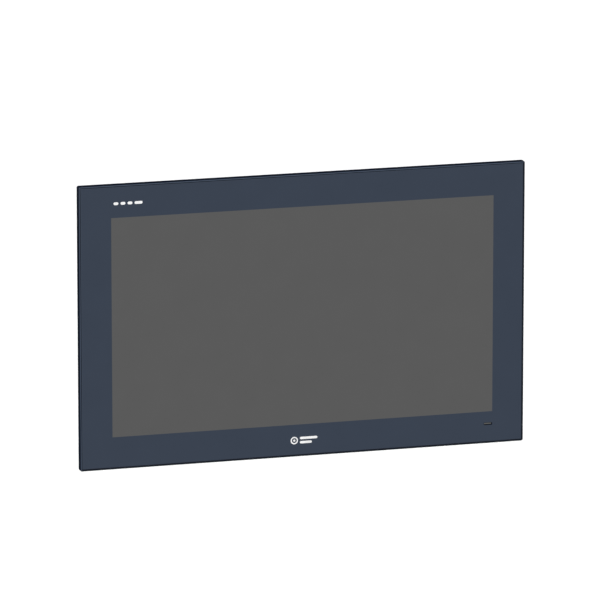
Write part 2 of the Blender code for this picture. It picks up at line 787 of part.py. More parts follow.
def make_heat_sink():
    """Base plate and fins as one comb, extruded upright so that air rises between the fins."""
    front = BOX_BACK + GAP
    valley = front + SINK_BASE
    half_width = BOX_WIDTH / 2
    outline = [(half_width, valley), (half_width, front), (-half_width, front), (-half_width, valley)]
    pitch = (FIN_SPAN - FIN_THICKNESS) / (FIN_COUNT - 1)
    for n in range(FIN_COUNT):
        left = -FIN_SPAN / 2 + n * pitch
        right = left + FIN_THICKNESS
        outline += [(left, valley), (left, SINK_BACK), (right, SINK_BACK), (right, valley)]
    add("heat_sink", prism("Z", outline, -BOX_HEIGHT / 2, BOX_HEIGHT / 2), "sink_aluminium")


def make_mainboard():
    holes = [circle(BOARD_SCREW_RADIUS, 8, place) for place in board_screw_places()]
    outline = rectangle(BOARD_LEFT, BOX_BOTTOM + 2 * STEEL, BOARD_RIGHT, BOARD_TOP)
    board = prism("Y", outline, BOARD_BACK - PCB, BOARD_BACK, holes)
    add("mainboard", board, "circuit_board")

    face = BOARD_BACK + GAP
    spreader = rounded_rectangle(SPREADER_SIZE, SPREADER_SIZE, 0.002)
    add("cpu_spreader", prism("Y", spreader, face, BOX_BACK), "bare_aluminium", SPREADER_PLACE)

    width, thickness, height = MEMORY_SIZE
    start = face + MEMORY_LIFT
    module = box((-width / 2, start, -height / 2), (width / 2, start + thickness, height / 2))
    add("memory_module", module, "circuit_board", MEMORY_PLACE)

    edge = 0.0004
    profile = [
        (CELL_RADIUS - edge, face),
        (CELL_RADIUS, face + edge),
        (CELL_RADIUS, face + CELL_HEIGHT),
    ]
    add("coin_cell", turned("Y", profile, 24), "steel_screw", CELL_PLACE)


# ---------------------------------------------------------------- ports and controls
def mouth_outline(x, start, size):
    return rectangle(x - size[0] / 2, PORT_Y + start, x + size[0] / 2, PORT_Y + start + size[1])


def ethernet_mouth(x):
    """The mouth of a network socket, with the channel for the plug's latch above it."""
    floor = PORT_Y + ETHERNET_MOUTH_START
    shoulder = floor + ETHERNET_MOUTH[1]
    top = shoulder + ETHERNET_LATCH[1]
    half_width, half_latch = ETHERNET_MOUTH[0] / 2, ETHERNET_LATCH[0] / 2
    return [
        (x - half_width, floor),
        (x + half_width, floor),
        (x + half_width, shoulder),
        (x + half_latch, shoulder),
        (x + half_latch, top),
        (x - half_latch, top),
        (x - half_latch, shoulder),
        (x - half_width, shoulder),
    ]


def shield_shape(size, centre, radius):
    """The D shape of a serial connector: narrower at the front side than at the back."""
    lean = 0.0008
    outline = []
    for u, v in rounded_rectangle(size[0], size[1], radius):
        inwards = lean * (0.5 - v / size[1])
        outline.append((centre[0] + u - (inwards if u > 0 else -inwards), centre[1] + v))
    return outline


def make_serial_port():
    middle = (SERIAL_X, PORT_Y + SERIAL_FLANGE[1] / 2)
    wall = (SERIAL_SHELL[0] - SERIAL_MOUTH[0]) / 2
    shell_radius = 0.0018
    mouth = PORT_FACE - SERIAL_PROUD
    flange = prism("Z", port_outline(SERIAL_X, SERIAL_FLANGE), PORT_FACE, BOX_BOTTOM + SERIAL_END)
    shell = shield_shape(SERIAL_SHELL, middle, shell_radius)
    shell = prism("Z", shell, mouth, PORT_FACE + wall)
    hollow = shield_shape(SERIAL_MOUTH, middle, shell_radius - wall)
    hollow = prism("Z", hollow, mouth - wall, PORT_FACE - GAP)
    add("serial_port", cut(joined(flange, shell), hollow), "zinc_steel")


def make_ports():
    mouth = mouth_outline(DC_X, DC_MOUTH_START, DC_MOUTH)
    inlet = socket(
        "Z",
        port_outline(DC_X, DC_BODY),
        [mouth],
        PORT_FACE - DC_PROUD,
        BOX_BOTTOM + 0.008,
        BOX_BOTTOM + DC_END,
    )
    add("dc_inlet", inlet, "green_plastic")
    make_serial_port()

    mouth_end, body_end = (PORT_FACE + depth for depth in ETHERNET_DEPTHS)
    for n, x in enumerate(ETHERNET_X, 1):
        outline = port_outline(x, ETHERNET_BODY)
        body = socket("Z", outline, [ethernet_mouth(x)], PORT_FACE, mouth_end, body_end)
        add(f"ethernet_socket_{n}", body, "zinc_steel")

    mouth_end, body_end = (PORT_FACE + depth for depth in USB_DEPTHS)
    for n, x in enumerate(USB_X, 1):
        outline = port_outline(x, USB_BODY)
        mouths = [mouth_outline(x, start, USB_MOUTH) for start in USB_MOUTH_STARTS]
        body = socket("Z", outline, mouths, PORT_FACE, mouth_end, body_end)
        add(f"usb_socket_{n}", body, "zinc_steel")


def make_power_switch():
    """Rocker switch: the rocker turns on an axis along Y, just inside the bottom wall."""
    flange, body, well = (
        rectangle(-half[0], -half[1], half[0], half[1])
        for half in (SWITCH_FLANGE, SWITCH_BODY, SWITCH_WELL)
    )
    seat = BOX_BOTTOM - GAP
    rim = seat - SWITCH_FLANGE_THICKNESS
    sections = [
        (well, BOX_BOTTOM + SWITCH_WELL_DEPTH),
        (well, rim),
        (flange, rim),
        (flange, seat),
        (body, seat),
        (body, BOX_BOTTOM + SWITCH_BODY_DEPTH),
    ]
    place = (SWITCH_X, CONTROL_Y, 0)
    add("power_switch_housing", loft("Z", sections), "black_plastic", place)

    pivot = add_axis("rocker_pivot", (SWITCH_X, CONTROL_Y, BOX_BOTTOM + ROCKER_LIFT))
    tip, dip, shoulder, keel = -0.0026, -0.0016, 0.0010, 0.0045
    outline = [
        (-ROCKER_HALF_LENGTH, tip),
        (0, dip),
        (ROCKER_HALF_LENGTH, tip),
        (ROCKER_HALF_LENGTH, shoulder),
        (ROCKER_HALF_LENGTH / 2, keel),
        (-ROCKER_HALF_LENGTH / 2, keel),
        (-ROCKER_HALF_LENGTH, shoulder),
    ]
    rocker = prism("Y", outline, -ROCKER_HALF_DEPTH, ROCKER_HALF_DEPTH)
    tilt = (0, radians(-ROCKER_TILT), 0)
    add("power_rocker", rocker, "black_plastic", rotation=tilt, parent=pivot)


def make_reset_button():
    tip = BOX_BOTTOM - BUTTON_PROUD
    collar = BOX_BOTTOM + STEEL + 2 * GAP
    edge = 0.0004
    profile = [
        (BUTTON_RADIUS - edge, tip),
        (BUTTON_RADIUS, tip + edge),
        (BUTTON_RADIUS, collar),
        (BUTTON_COLLAR, collar),
        (BUTTON_COLLAR, collar + 0.001),
        (BUTTON_RADIUS - edge, collar + 0.001),
        (BUTTON_RADIUS - edge, collar + 0.006),
    ]
    add("reset_button", turned("Z", profile), "red_plastic", (RESET_X, CONTROL_Y, 0))


def make_earth_stud():
    inner_seat = BOX_BOTTOM + STEEL + GAP
    outer_seat = BOX_BOTTOM - GAP
    washer_face = outer_seat - 0.0015
    end = outer_seat - STUD_LENGTH
    edge = 0.0005
    profile = [
        (STUD_NUT, inner_seat + 0.003),
        (STUD_NUT, inner_seat),
        (STUD_RADIUS, inner_seat),
        (STUD_RADIUS, outer_seat),
        (STUD_WASHER, outer_seat),
        (STUD_WASHER, washer_face),
        (STUD_RADIUS, washer_face),
        (STUD_RADIUS, end + edge),
        (STUD_RADIUS - edge, end),
    ]
    add("earth_stud", turned("Z", profile), "brass", (EARTH_X, CONTROL_Y, 0))


def make_drive_caddy():
    bottom, top = CADDY_Z - CADDY_WIDTH / 2, CADDY_Z + CADDY_WIDTH / 2
    floor = CADDY_FRONT + CADDY_WALL
    channel = [
        (CADDY_FRONT, bottom),
        (CADDY_BACK, bottom),
        (CADDY_BACK, bottom + CADDY_WALL),
        (floor, bottom + CADDY_WALL),
        (floor, top - CADDY_WALL),
        (CADDY_BACK, top - CADDY_WALL),
        (CADDY_BACK, top),
        (CADDY_FRONT, top),
    ]
    plate_left = BOX_WIDTH / 2 + GAP
    plate_right = plate_left + CADDY_PLATE
    inside_plate = plate_left + CADDY_PLATE / 2
    channel = prism("X", channel, CADDY_LEFT, inside_plate)
    plate = rectangle(CADDY_PLATE_FRONT, CADDY_PLATE_BOTTOM, CADDY_PLATE_BACK, CADDY_PLATE_TOP)
    screw_hole = circle(THUMB_HOLE, centre=(THUMB_Y, THUMB_Z))
    plate = prism("X", plate, plate_left, plate_right, [screw_hole])
    half_grip = CADDY_GRIP_SHEET / 2
    grip = box(
        (inside_plate, THUMB_Y - half_grip, CADDY_Z - CADDY_GRIP_HALF_HEIGHT),
        (plate_right + CADDY_GRIP_REACH, THUMB_Y + half_grip, CADDY_Z + CADDY_GRIP_HALF_HEIGHT),
    )
    add("drive_caddy", joined(joined(plate, channel), grip), "zinc_steel")

    length, thickness, width = DRIVE_SIZE
    drive = rounded_rectangle(length, width, DRIVE_RADIUS)
    drive = prism("Y", drive, floor + GAP, floor + GAP + thickness)
    place = (CADDY_LEFT + 0.004 + length / 2, 0, CADDY_Z)
    add("solid_state_drive", drive, "bare_aluminium", place)

    edge = 0.0004
    knob = plate_right + GAP
    knob_end = knob + THUMB_KNOB_LENGTH
    tip = plate_left - THUMB_REACH
    profile = [
        (THUMB_TIP - edge, tip),
        (THUMB_TIP, tip + edge),
        (THUMB_TIP, knob),
        (THUMB_KNOB - edge, knob),
        (THUMB_KNOB, knob + edge),
        (THUMB_KNOB, knob_end - edge),
        (THUMB_KNOB - edge, knob_end),
    ]
    add("caddy_thumbscrew", turned("X", profile, 16), "steel_screw", (0, THUMB_Y, THUMB_Z))


# ---------------------------------------------------------------- mounting clamps
def clamp_bracket():
    """Hooks through the tray's wall and carries the screw. Outwards from the wall is +Z here."""
    width = CLAMP_HALF_WIDTH
    sheet_top = GAP + CLAMP_SHEET
    outline = [
        (CLAMP_BASE[0], GAP),
        (CLAMP_BASE[1], GAP),
        (CLAMP_BASE[1], sheet_top),
        (CLAMP_LUG[1], sheet_top),
        (CLAMP_LUG[1], CLAMP_LUG_TOP),
        (CLAMP_LUG[0], CLAMP_LUG_TOP),
        (CLAMP_LUG[0], sheet_top),
        (CLAMP_BASE[0], sheet_top),
    ]
    bracket = prism("X", outline, -width, width)
    hooks = [
        box(
            (-HOOK_HALF_WIDTH, depth, -HOOK_REACH),
            (HOOK_HALF_WIDTH, depth + HOOK_THICKNESS, sheet_top - CLAMP_SHEET / 2),
        )
        for depth in HOOK_DEPTHS
    ]
    hole = [(SCREW_HOLE, CLAMP_LUG[0] - 0.001), (SCREW_HOLE, CLAMP_LUG[1] + 0.001)]
    hole = turned("Y", hole, 24, (0, CLAMP_REACH))
    return cut(joined(bracket, *hooks), hole)


def clamp_pad():
    """Cup that presses on the wall, with a bore for the screw's tip, about its own axis."""
    end = PAD_FACE + PAD_LENGTH
    edge = 0.0005
    shoulder = 0.0030
    return turned(
        "Y",
        [
            (PAD_BORE, PAD_FACE + PAD_FLOOR),
            (PAD_BORE, end),
            (shoulder, end),
            (PAD_RADIUS, end - (PAD_RADIUS - shoulder)),
            (PAD_RADIUS, PAD_FACE + edge),
            (PAD_RADIUS - edge, PAD_FACE),
        ],
    )


def clamp_screw():
    head_end = HEAD_START + HEAD_LENGTH
    shank = PAD_FACE + PAD_LENGTH + GAP
    edge = 0.0004
    return turned(
        "Y",
        [
            (SCREW_TIP, PAD_FACE + PAD_FLOOR + GAP),
            (SCREW_TIP, shank),
            (SCREW_RADIUS, shank),
            (SCREW_RADIUS, HEAD_START),
            (HEAD_RADIUS, HEAD_START),
            (HEAD_RADIUS, head_end - edge),
            (HEAD_RADIUS - edge, head_end),
            (HEX_RADIUS, head_end),
            (HEX_RADIUS, head_end - HEX_DEPTH),
        ],
    )


def make_clamps():
    bracket, pad, screw = clamp_bracket(), clamp_pad(), clamp_screw()
    for n, (place, turn) in enumerate(clamp_places(), 1):
        rotation = (0, turn, 0)
        add(f"clamp_bracket_{n}", bracket, "zinc_steel", place, rotation)
        x = place[0] + CLAMP_REACH * sin(turn)
        z = place[2] + CLAMP_REACH * cos(turn)
        axis = add_axis(f"clamp_axis_{n}", (x, 0, z), rotation)
        add(f"clamp_pad_{n}", pad, "pad_plastic", parent=axis)
        add(f"clamp_screw_{n}", screw, "steel_screw", parent=axis)


# ---------------------------------------------------------------- assembly
def main():
    for old in list(bpy.data.objects):
        bpy.data.objects.remove(old)
    FINISHES.update(make_finishes())
    make_front_frame()
    make_cover_glass()
    make_glass_seal()
    make_panel_gasket()
    make_touch_sensor()
    make_status_light()
    make_display()
    make_rear_tray()
    make_tray_contents()
    make_box_chassis()
    make_heat_sink()
    make_mainboard()
    make_ports()
    make_power_switch()
    make_reset_button()
    make_earth_stud()
    make_drive_caddy()
    make_clamps()


main()
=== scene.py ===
"""Looks of the panel-mounted touch screen: its finishes, its fine shapes and its small parts.

Metres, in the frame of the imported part: the screen faces -Y, +Z is up, and the origin is the
centre of the cabinet cutout, on the cabinet wall's outer surface.
"""

import json
from math import asin, atan2, cos, exp, pi, radians, sin, tau

import bmesh
import bpy
from mathutils import Matrix, Vector
from mathutils.geometry import delaunay_2d_cdt


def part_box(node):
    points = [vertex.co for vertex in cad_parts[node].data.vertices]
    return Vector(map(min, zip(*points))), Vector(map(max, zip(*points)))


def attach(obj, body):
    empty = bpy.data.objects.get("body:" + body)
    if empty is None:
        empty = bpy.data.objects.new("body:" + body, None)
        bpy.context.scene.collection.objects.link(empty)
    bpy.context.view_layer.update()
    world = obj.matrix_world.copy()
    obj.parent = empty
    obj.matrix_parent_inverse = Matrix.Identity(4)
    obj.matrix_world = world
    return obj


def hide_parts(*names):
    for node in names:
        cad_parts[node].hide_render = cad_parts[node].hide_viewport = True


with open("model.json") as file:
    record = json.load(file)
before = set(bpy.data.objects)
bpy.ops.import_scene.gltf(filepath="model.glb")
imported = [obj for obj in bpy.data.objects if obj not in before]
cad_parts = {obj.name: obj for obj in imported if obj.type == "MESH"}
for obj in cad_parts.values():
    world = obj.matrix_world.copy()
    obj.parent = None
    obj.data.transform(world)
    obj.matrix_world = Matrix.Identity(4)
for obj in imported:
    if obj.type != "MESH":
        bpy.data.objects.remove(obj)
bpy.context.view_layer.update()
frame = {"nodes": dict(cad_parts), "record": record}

# -------- driving dimensions
GAP = 0.0003  # left between two pieces that touch
SINK_IN = 0.0001  # a head or a bead is let this far into its face

# Front. Insets run inwards from the frame's outline, and depths run along +Y.
SCREEN_WIDTH, SCREEN_HEIGHT = 0.4761, 0.2678
FRONT_RADIUS = 0.0025
RIM = 0.0018
RIM_CHAMFER = 0.0016
GLASS_GAP = 0.0008  # between the rim and the glass, filled by a bead
SHELF_DEPTH = 0.0043  # of the shelf behind the glass, from the front face
WINDOW_INSET = 0.0258
RIB_THICKNESS = 0.0024
RIB_END = 0.007
GROOVE_INSET, GROOVE_WIDTH = 0.0088, 0.006
GROOVE_FLOOR = -0.0021
FRAME_BACK = -0.0005
PAINTED_SHADE_START = -0.0087  # from here to the wall the frame's sides are painted darker: painted shade along the silhouette
STATUS_SIZE = (0.0094, 0.002)  # of the slot in the glass for the status lens
STATUS_RADIUS = 0.0006
MARK_PROUD, MARK_SUNK = 0.00003, 0.00005  # print in front of the glass, and behind its face

# Heat sink.
FIN_COUNT = 27
FIN_THICKNESS = 0.0022
FIN_SPAN = 0.306  # from the first fin's outer side to the last one's
SINK_BASE = 0.003

# Sockets and switches, on the computer box's lower wall.
PORT_PROUD = 0.0006  # the sockets stand this far out of the wall
SWITCH_PRINT = (-0.00004, 0.0001)  # where print on a switch or a wall starts and ends
ROCKER_TILT = radians(-9)
ROCKER_LIFT = 0.0005  # of the rocker's pivot, above the wall
ROCKER_DIP, ROCKER_TIP = 0.0016, 0.0026  # its faces below the pivot, at the middle and at an end
ROCKER_HALF = 0.008  # half of its length

# Clamps.
CLAMP_COUNT = 8
SCREW_RADIUS = 0.002
SCREW_PITCH = 0.0007
THREAD_DEPTH = 0.00035
SCREW_TIP = 0.0015
HEAD_RADIUS, HEAD_LENGTH = 0.0035, 0.0028
HEX_RADIUS, HEX_DEPTH = 0.0015, 0.0018
PAD_BORE, PAD_RADIUS = 0.0016, 0.0042

# Meshes.
SMOOTH_ANGLE = radians(35)  # sharper edges stay crisp
CORNER_STEPS = 8
SIDES = 24  # of a circle, and of a recess that is bridged to one
TINY = 1e-6  # keeps the ends of a round-ended outline apart
TRIANGLES_OUTSIDE_HOLES = 2  # how delaunay_2d_cdt is asked to fill an outline
FILL_MERGE = 1e-7

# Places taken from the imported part.
front_low, front_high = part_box("front_frame")
FRONT_WIDTH, FRONT_HEIGHT = front_high.x - front_low.x, front_high.z - front_low.z
FRONT_FACE = front_low.y
TRAY_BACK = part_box("rear_tray")[1].y
BOX_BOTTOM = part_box("box_chassis")[0].z

# Base colours, linear.
PANEL_BLUE = (0.0326, 0.0435, 0.0649)
SCREEN_GREY = (0.0842, 0.0842, 0.0842)


# -------- outlines
def rounded(width, height, radius, centre=(0, 0), steps=CORNER_STEPS):
    """A rectangle with rounded corners, anticlockwise."""
    points = []
    for quarter, (sx, sy) in enumerate(((1, 1), (-1, 1), (-1, -1), (1, -1))):
        middle_x = centre[0] + sx * (width / 2 - radius)
        middle_y = centre[1] + sy * (height / 2 - radius)
        for step in range(steps + 1):
            angle = (quarter + step / steps) * pi / 2
            points.append((middle_x + radius * cos(angle), middle_y + radius * sin(angle)))
    return points


def stadium(width, height, centre=(0, 0), steps=5):
    """A bar with round ends."""
    return rounded(width, height, height / 2 - TINY, centre, steps)


def rectangle(low_u, low_v, high_u, high_v):
    return [(low_u, low_v), (high_u, low_v), (high_u, high_v), (low_u, high_v)]


def polar(reach, sides=SIDES, centre=(0, 0)):
    """Outline whose distance from its centre is a function of the angle."""
    points = []
    for n in range(sides):
        angle = tau * n / sides
        points.append((centre[0] + reach(angle) * cos(angle), centre[1] + reach(angle) * sin(angle)))
    return points


def circle(radius, sides=SIDES, centre=(0, 0)):
    return polar(lambda angle: radius, sides, centre)


def star(radius, depth=0.14, lobes=6):
    """Outline of a lobed screw recess."""
    return polar(lambda angle: radius * (1 + depth * cos(lobes * angle)))


def hexagon(radius):
    """A hexagon of a radius at its corners."""
    return polar(lambda angle: radius * cos(pi / 6) / cos((angle + pi / 6) % (pi / 3) - pi / 6))


# -------- solids
def place_in_scene(name, data):
    made = bpy.data.objects.new(name, data)
    bpy.context.scene.collection.objects.link(made)
    return made


def at(axis, u, v, along):
    """A point from its place across an axis and its place along it."""
    return {"X": (along, u, v), "Y": (u, along, v), "Z": (u, v, along)}[axis]


def closed(bm, name):
    """Turns a finished bmesh into a mesh whose faces point outwards."""
    bmesh.ops.recalc_face_normals(bm, faces=bm.faces)
    mesh = bpy.data.meshes.new(name)
    bm.to_mesh(mesh)
    bm.free()
    return mesh


def bridge(bm, ring, next_ring):
    count = len(ring)
    for n in range(count):
        bm.faces.new((ring[n], ring[(n + 1) % count], next_ring[(n + 1) % count], next_ring[n]))


def cap(bm, ring, holes, axis):
    """Closes a flat ring that faces along an axis, leaving its holes open."""
    if not holes:
        bm.faces.new(ring)
        return
    across = [n for n in range(3) if n != "XYZ".index(axis)]
    corners, outlines = [], []
    for one in (ring, *holes):
        outlines.append(list(range(len(corners), len(corners) + len(one))))
        corners += one
    points = [Vector([vert.co[n] for n in across]) for vert in corners]
    filled = delaunay_2d_cdt(points, [], outlines, TRIANGLES_OUTSIDE_HOLES, FILL_MERGE)
    for triangle in filled[2]:
        bm.faces.new([corners[filled[3][n][0]] for n in triangle])


def loft(axis, sections, ring_shaped=False, holes=()):
    """Skins a list of (outline, along). The ends are capped unless the skin closes on itself."""
    bm = bmesh.new()
    rings = [[bm.verts.new(at(axis, u, v, along)) for u, v in line] for line, along in sections]
    for ring, next_ring in zip(rings, rings[1:]):
        bridge(bm, ring, next_ring)
    if ring_shaped:
        bridge(bm, rings[-1], rings[0])
        return closed(bm, "ring")
    ends = []
    for ring, (_, along) in ((rings[0], sections[0]), (rings[-1], sections[-1])):
        edges = [[bm.verts.new(at(axis, u, v, along)) for u, v in hole] for hole in holes]
        cap(bm, ring, edges, axis)
        ends.append(edges)
    for first, last in zip(*ends):
        bridge(bm, first, last)
    return closed(bm, "loft")


def prism(axis, outline, low, high, holes=()):
    return loft(axis, [(outline, low), (outline, high)], holes=holes)


def block(low, high):
    return prism("Z", rectangle(low[0], low[1], high[0], high[1]), low[2], high[2])


def bar(middle_x, width, low, high):
    """A block of a width about a place in X, from one (y, z) to another."""
    return block((middle_x - width / 2, *low), (middle_x + width / 2, *high))


def turned(axis, profile, sides=32, centre=(0, 0)):
    """Turns a list of (radius, along) about an axis."""
    return loft(axis, [(circle(radius, sides, centre), along) for radius, along in profile])


def framed(profile, ring_shaped=True, holes=()):
    """Sweeps a profile of (inset, depth) round the front's outline."""
    least_radius = 0.0004
    sections = []
    for inset, depth in profile:
        corner = max(FRONT_RADIUS - inset, least_radius)
        width, height = FRONT_WIDTH - 2 * inset, FRONT_HEIGHT - 2 * inset
        sections.append((rounded(width, height, corner), depth))
    return loft("Y", sections, ring_shaped, holes)


def threaded(radius, pitch, depth, low, high, ends, sides=SIDES, steps=6):
    """Sections of a right-hand thread, between plain (radius, along) ones at its two ends."""
    sections = [(circle(r, sides), along) for r, along in ends[0]]
    for k in range(int((high - low) / pitch * steps) + 1):
        outline = polar(lambda a: radius - depth * abs(2 * ((k / steps + a / tau) % 1) - 1), sides)
        sections.append((outline, low + k * pitch / steps))
    sections += [(circle(r, sides), along) for r, along in ends[1]]
    return sections


def knurled(radius, depth, low, high, teeth=36):
    """Sections of a straight-knurled knob with tapered ends."""
    edge = 0.0005
    plain = circle(radius - edge - depth, 2 * teeth)
    toothed = polar(lambda angle: radius - depth * (round(angle * teeth / pi) % 2), 2 * teeth)
    return [(plain, low), (toothed, low + edge), (toothed, high - edge), (plain, high)]


def moved(x, y, z):
    return Matrix.Translation((x, y, z))


def facing(direction):
    """The turn that takes +Y to a direction."""
    return Vector((0, 1, 0)).rotation_difference(Vector(direction)).to_matrix().to_4x4()


def gathered(parts):
    """One mesh from several: each a mesh, or a pair of a mesh and the matrix that places it."""
    bm = bmesh.new()
    for part in parts:
        mesh, place = part if isinstance(part, tuple) else (part, Matrix.Identity(4))
        copy = mesh.copy()
        copy.transform(place)
        bm.from_mesh(copy)
        bpy.data.meshes.remove(copy)
    return closed(bm, "gathered")


def cut(mesh, tool):
    """The mesh after a closed tool has been taken away from it."""
    target, cutter = place_in_scene("target", mesh), place_in_scene("cutter", tool)
    modifier = target.modifiers.new("cut", "BOOLEAN")
    modifier.object = cutter
    depsgraph = bpy.context.evaluated_depsgraph_get()
    result = bpy.data.meshes.new_from_object(target.evaluated_get(depsgraph))
    for helper in (target, cutter):
        bpy.data.objects.remove(helper)
    return result


def merged(node):
    """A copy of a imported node's mesh, with the triangles of each flat face merged."""
    bm = bmesh.new()
    bm.from_mesh(frame["nodes"][node].data)
    bmesh.ops.remove_doubles(bm, verts=bm.verts, dist=1e-6)
    bmesh.ops.dissolve_limit(bm, angle_limit=radians(1), verts=bm.verts, edges=bm.edges)
    return closed(bm, node)


# -------- finishes
class Nodes:
    """A node tree, with short calls that add nodes to it and link them."""

    def __init__(self, tree):
        self.tree = tree

    def put(self, socket, value):
        """Gives a socket a number, or links it to another node's output."""
        if isinstance(value, bpy.types.NodeSocket):
            self.tree.links.new(value, socket)
        else:
            socket.default_value = value

    def add(self, kind, inputs=None, **settings):
        """Adds a node, sets it up and fills its inputs. Gives its outputs."""
        node = self.tree.nodes.new(f"ShaderNode{kind}")
        for name, value in settings.items():
            setattr(node, name, value)
        for name, value in (inputs or {}).items():
            self.put(node.inputs[name], value)
        return node.outputs

    def math(self, operation, first, second=0.0):
        return self.add("Math", {0: first, 1: second}, operation=operation)[0]

    def spread(self, value, low, high, to_low, to_high):
        """Takes the numbers from low to high to those from to_low to to_high."""
        limits = {"From Min": low, "From Max": high, "To Min": to_low, "To Max": to_high}
        return self.add("MapRange", {"Value": value, **limits})["Result"]

    def ramp(self, factor, stops):
        """A colour from (position, colour) stops."""
        colour = self.add("ValToRGB", {"Fac": factor})["Color"]
        elements = colour.node.color_ramp.elements
        while len(elements) < len(stops):
            elements.new(0.5)
        for element, (position, value) in zip(elements, stops):
            element.position = position
            element.color = (*value, 1)
        return colour

    def mix(self, factor, first, second):
        inputs = {"Factor": factor, "A": first, "B": second}
        return self.add("Mix", inputs, data_type="RGBA")["Result"]


class Finish(Nodes):
    """A material on one shader, with calls for the patterns that vary it."""

    def __init__(self, name, colour, roughness, metallic=0.0, specular=0.5, slot=None):
        self.material = bpy.data.materials.new(f"{name}_finish")
        self.material.use_nodes = True
        self.material.diffuse_color = (*colour, 1)
        super().__init__(self.material.node_tree)
        self.name = name
        self.slot = slot or name
        self.colour = colour
        self.shader = self.tree.nodes["Principled BSDF"].inputs
        even = {"Roughness": roughness, "Metallic": metallic, "Specular IOR Level": specular}
        for socket, value in {"Base Color": (*colour, 1), **even}.items():
            self.shader[socket].default_value = value
        self.place = self.add("TexCoord")["Object"]

    def noise(self, scale, detail=2.0, stretch=(1, 1, 1)):
        place = self.add("Mapping", {"Vector": self.place, "Scale": stretch})["Vector"]
        return self.add("TexNoise", {"Vector": place, "Scale": scale, "Detail": detail})["Fac"]

    def cells(self, scale, feature="F1", output="Distance"):
        inputs = {"Vector": self.place, "Scale": scale}
        return self.add("TexVoronoi", inputs, feature=feature)[output]

    def inside(self, axis, half_width):
        """1 where a coordinate is within a distance of zero."""
        along = self.add("SeparateXYZ", {0: self.place})[axis]
        return self.math("LESS_THAN", self.math("ABSOLUTE", along), half_width)

    def toned(self, factor, amount, colour=None):
        """A colour, darker and lighter by a share as a pattern goes from low to high."""
        colour = colour or self.colour
        dark = [channel * (1 - amount) for channel in colour]
        light = [min(channel * (1 + amount), 1) for channel in colour]
        return self.ramp(factor, [(0.3, dark), (0.7, light)])

    def vary_colour(self, factor, amount):
        self.put(self.shader["Base Color"], self.toned(factor, amount))

    def vary_roughness(self, factor, low, high):
        self.put(self.shader["Roughness"], self.spread(factor, 0.3, 0.7, low, high))

    def raise_surface(self, factor, height):
        """Bump, as the height in metres between a pattern's low and high."""
        bump = self.add("Bump", {"Distance": height, "Height": factor})
        self.put(self.shader["Normal"], bump["Normal"])


def painted(name, colour, roughness, specular, slot=None):
    """Satin paint with a faint orange peel."""
    finish = Finish(name, colour, roughness, specular=specular, slot=slot)
    finish.vary_colour(finish.noise(45, 3), 0.035)
    finish.vary_roughness(finish.noise(260), roughness - 0.05, roughness + 0.05)
    finish.raise_surface(finish.noise(1300, 1), 0.000012)
    return finish


def printed_glass():
    """Etched cover glass: printed from behind on its border, grey over the unlit display."""
    finish = Finish("front_glass", PANEL_BLUE, 0.42, specular=0.3)
    across, up = finish.inside("X", SCREEN_WIDTH / 2), finish.inside("Z", SCREEN_HEIGHT / 2)
    mottle = finish.noise(30, 3)
    border = finish.toned(mottle, 0.02)
    screen = finish.toned(mottle, 0.012, SCREEN_GREY)
    window = finish.math("MULTIPLY", across, up)
    finish.put(finish.shader["Base Color"], finish.mix(window, border, screen))
    finish.vary_roughness(finish.noise(900, 1), 0.4, 0.46)
    finish.raise_surface(finish.noise(2600, 1), 0.000002)
    return finish


def powder_coat(name, colour):
    finish = Finish(name, colour, 0.55, specular=0.4)
    finish.vary_colour(finish.noise(60, 4), 0.07)
    finish.vary_roughness(finish.noise(350), 0.48, 0.64)
    finish.raise_surface(finish.cells(1300), 0.00004)
    return finish


def zinc(name, colour):
    """Zinc-plated sheet: faint spangle, rolled grain and cloudy sheen."""
    finish = Finish(name, colour, 0.4, metallic=0.85)
    spangle = finish.math("MULTIPLY", finish.cells(150, output="Color"), 0.35)
    cloud = finish.math("MULTIPLY", finish.noise(18, 3), 0.65)
    finish.vary_colour(finish.math("ADD", cloud, spangle), 0.16)
    finish.vary_roughness(finish.noise(120, 3, (1, 1, 12)), 0.36, 0.56)
    finish.raise_surface(finish.noise(500, 3, (1, 1, 14)), 0.000006)
    return finish


def brushed(name, colour, roughness, stretch, metallic=1.0, slot=None):
    """Metal with fine lines along one direction: the axis with the smallest stretch."""
    finish = Finish(name, colour, roughness, metallic=metallic, slot=slot)
    lines = finish.noise(700, 3, stretch)
    finish.vary_colour(lines, 0.1)
    finish.vary_roughness(finish.noise(240, 2, stretch), roughness - 0.07, roughness + 0.09)
    finish.raise_surface(lines, 0.000012)
    return finish


def moulded(name, colour, roughness, grain=900, height=0.00002, slot=None, specular=0.5):
    """Moulded plastic or rubber with a spark-eroded grain."""
    finish = Finish(name, colour, roughness, specular=specular, slot=slot)
    finish.vary_colour(finish.noise(90, 3), 0.12)
    finish.vary_roughness(finish.noise(300), roughness - 0.06, roughness + 0.08)
    finish.raise_surface(finish.cells(grain), height)
    return finish


def ink(name, colour, roughness, slot):
    """Screen print: almost smooth."""
    return moulded(name, colour, roughness, 2500, 0.000004, slot)


def circuit_board():
    """Solder mask over a net of copper tracks."""
    finish = Finish("circuit_board", (0.012, 0.1, 0.038), 0.38)
    tracks = finish.math("LESS_THAN", finish.cells(260, "DISTANCE_TO_EDGE"), 0.05)
    mask = finish.toned(finish.noise(120), 0.15)
    copper = finish.toned(finish.noise(300), 0.1, (0.03, 0.19, 0.075))
    finish.put(finish.shader["Base Color"], finish.mix(tracks, mask, copper))
    finish.vary_roughness(finish.noise(200), 0.32, 0.46)
    finish.raise_surface(tracks, 0.00003)
    return finish


def frosted(name, colour, roughness, slot=None):
    """Clear or dyed plastic, frosted."""
    finish = Finish(name, colour, roughness, slot=slot)
    finish.vary_colour(finish.noise(200, 3), 0.06)
    finish.vary_roughness(finish.noise(800), roughness - 0.05, roughness + 0.08)
    finish.raise_surface(finish.noise(1800), 0.000004)
    return finish


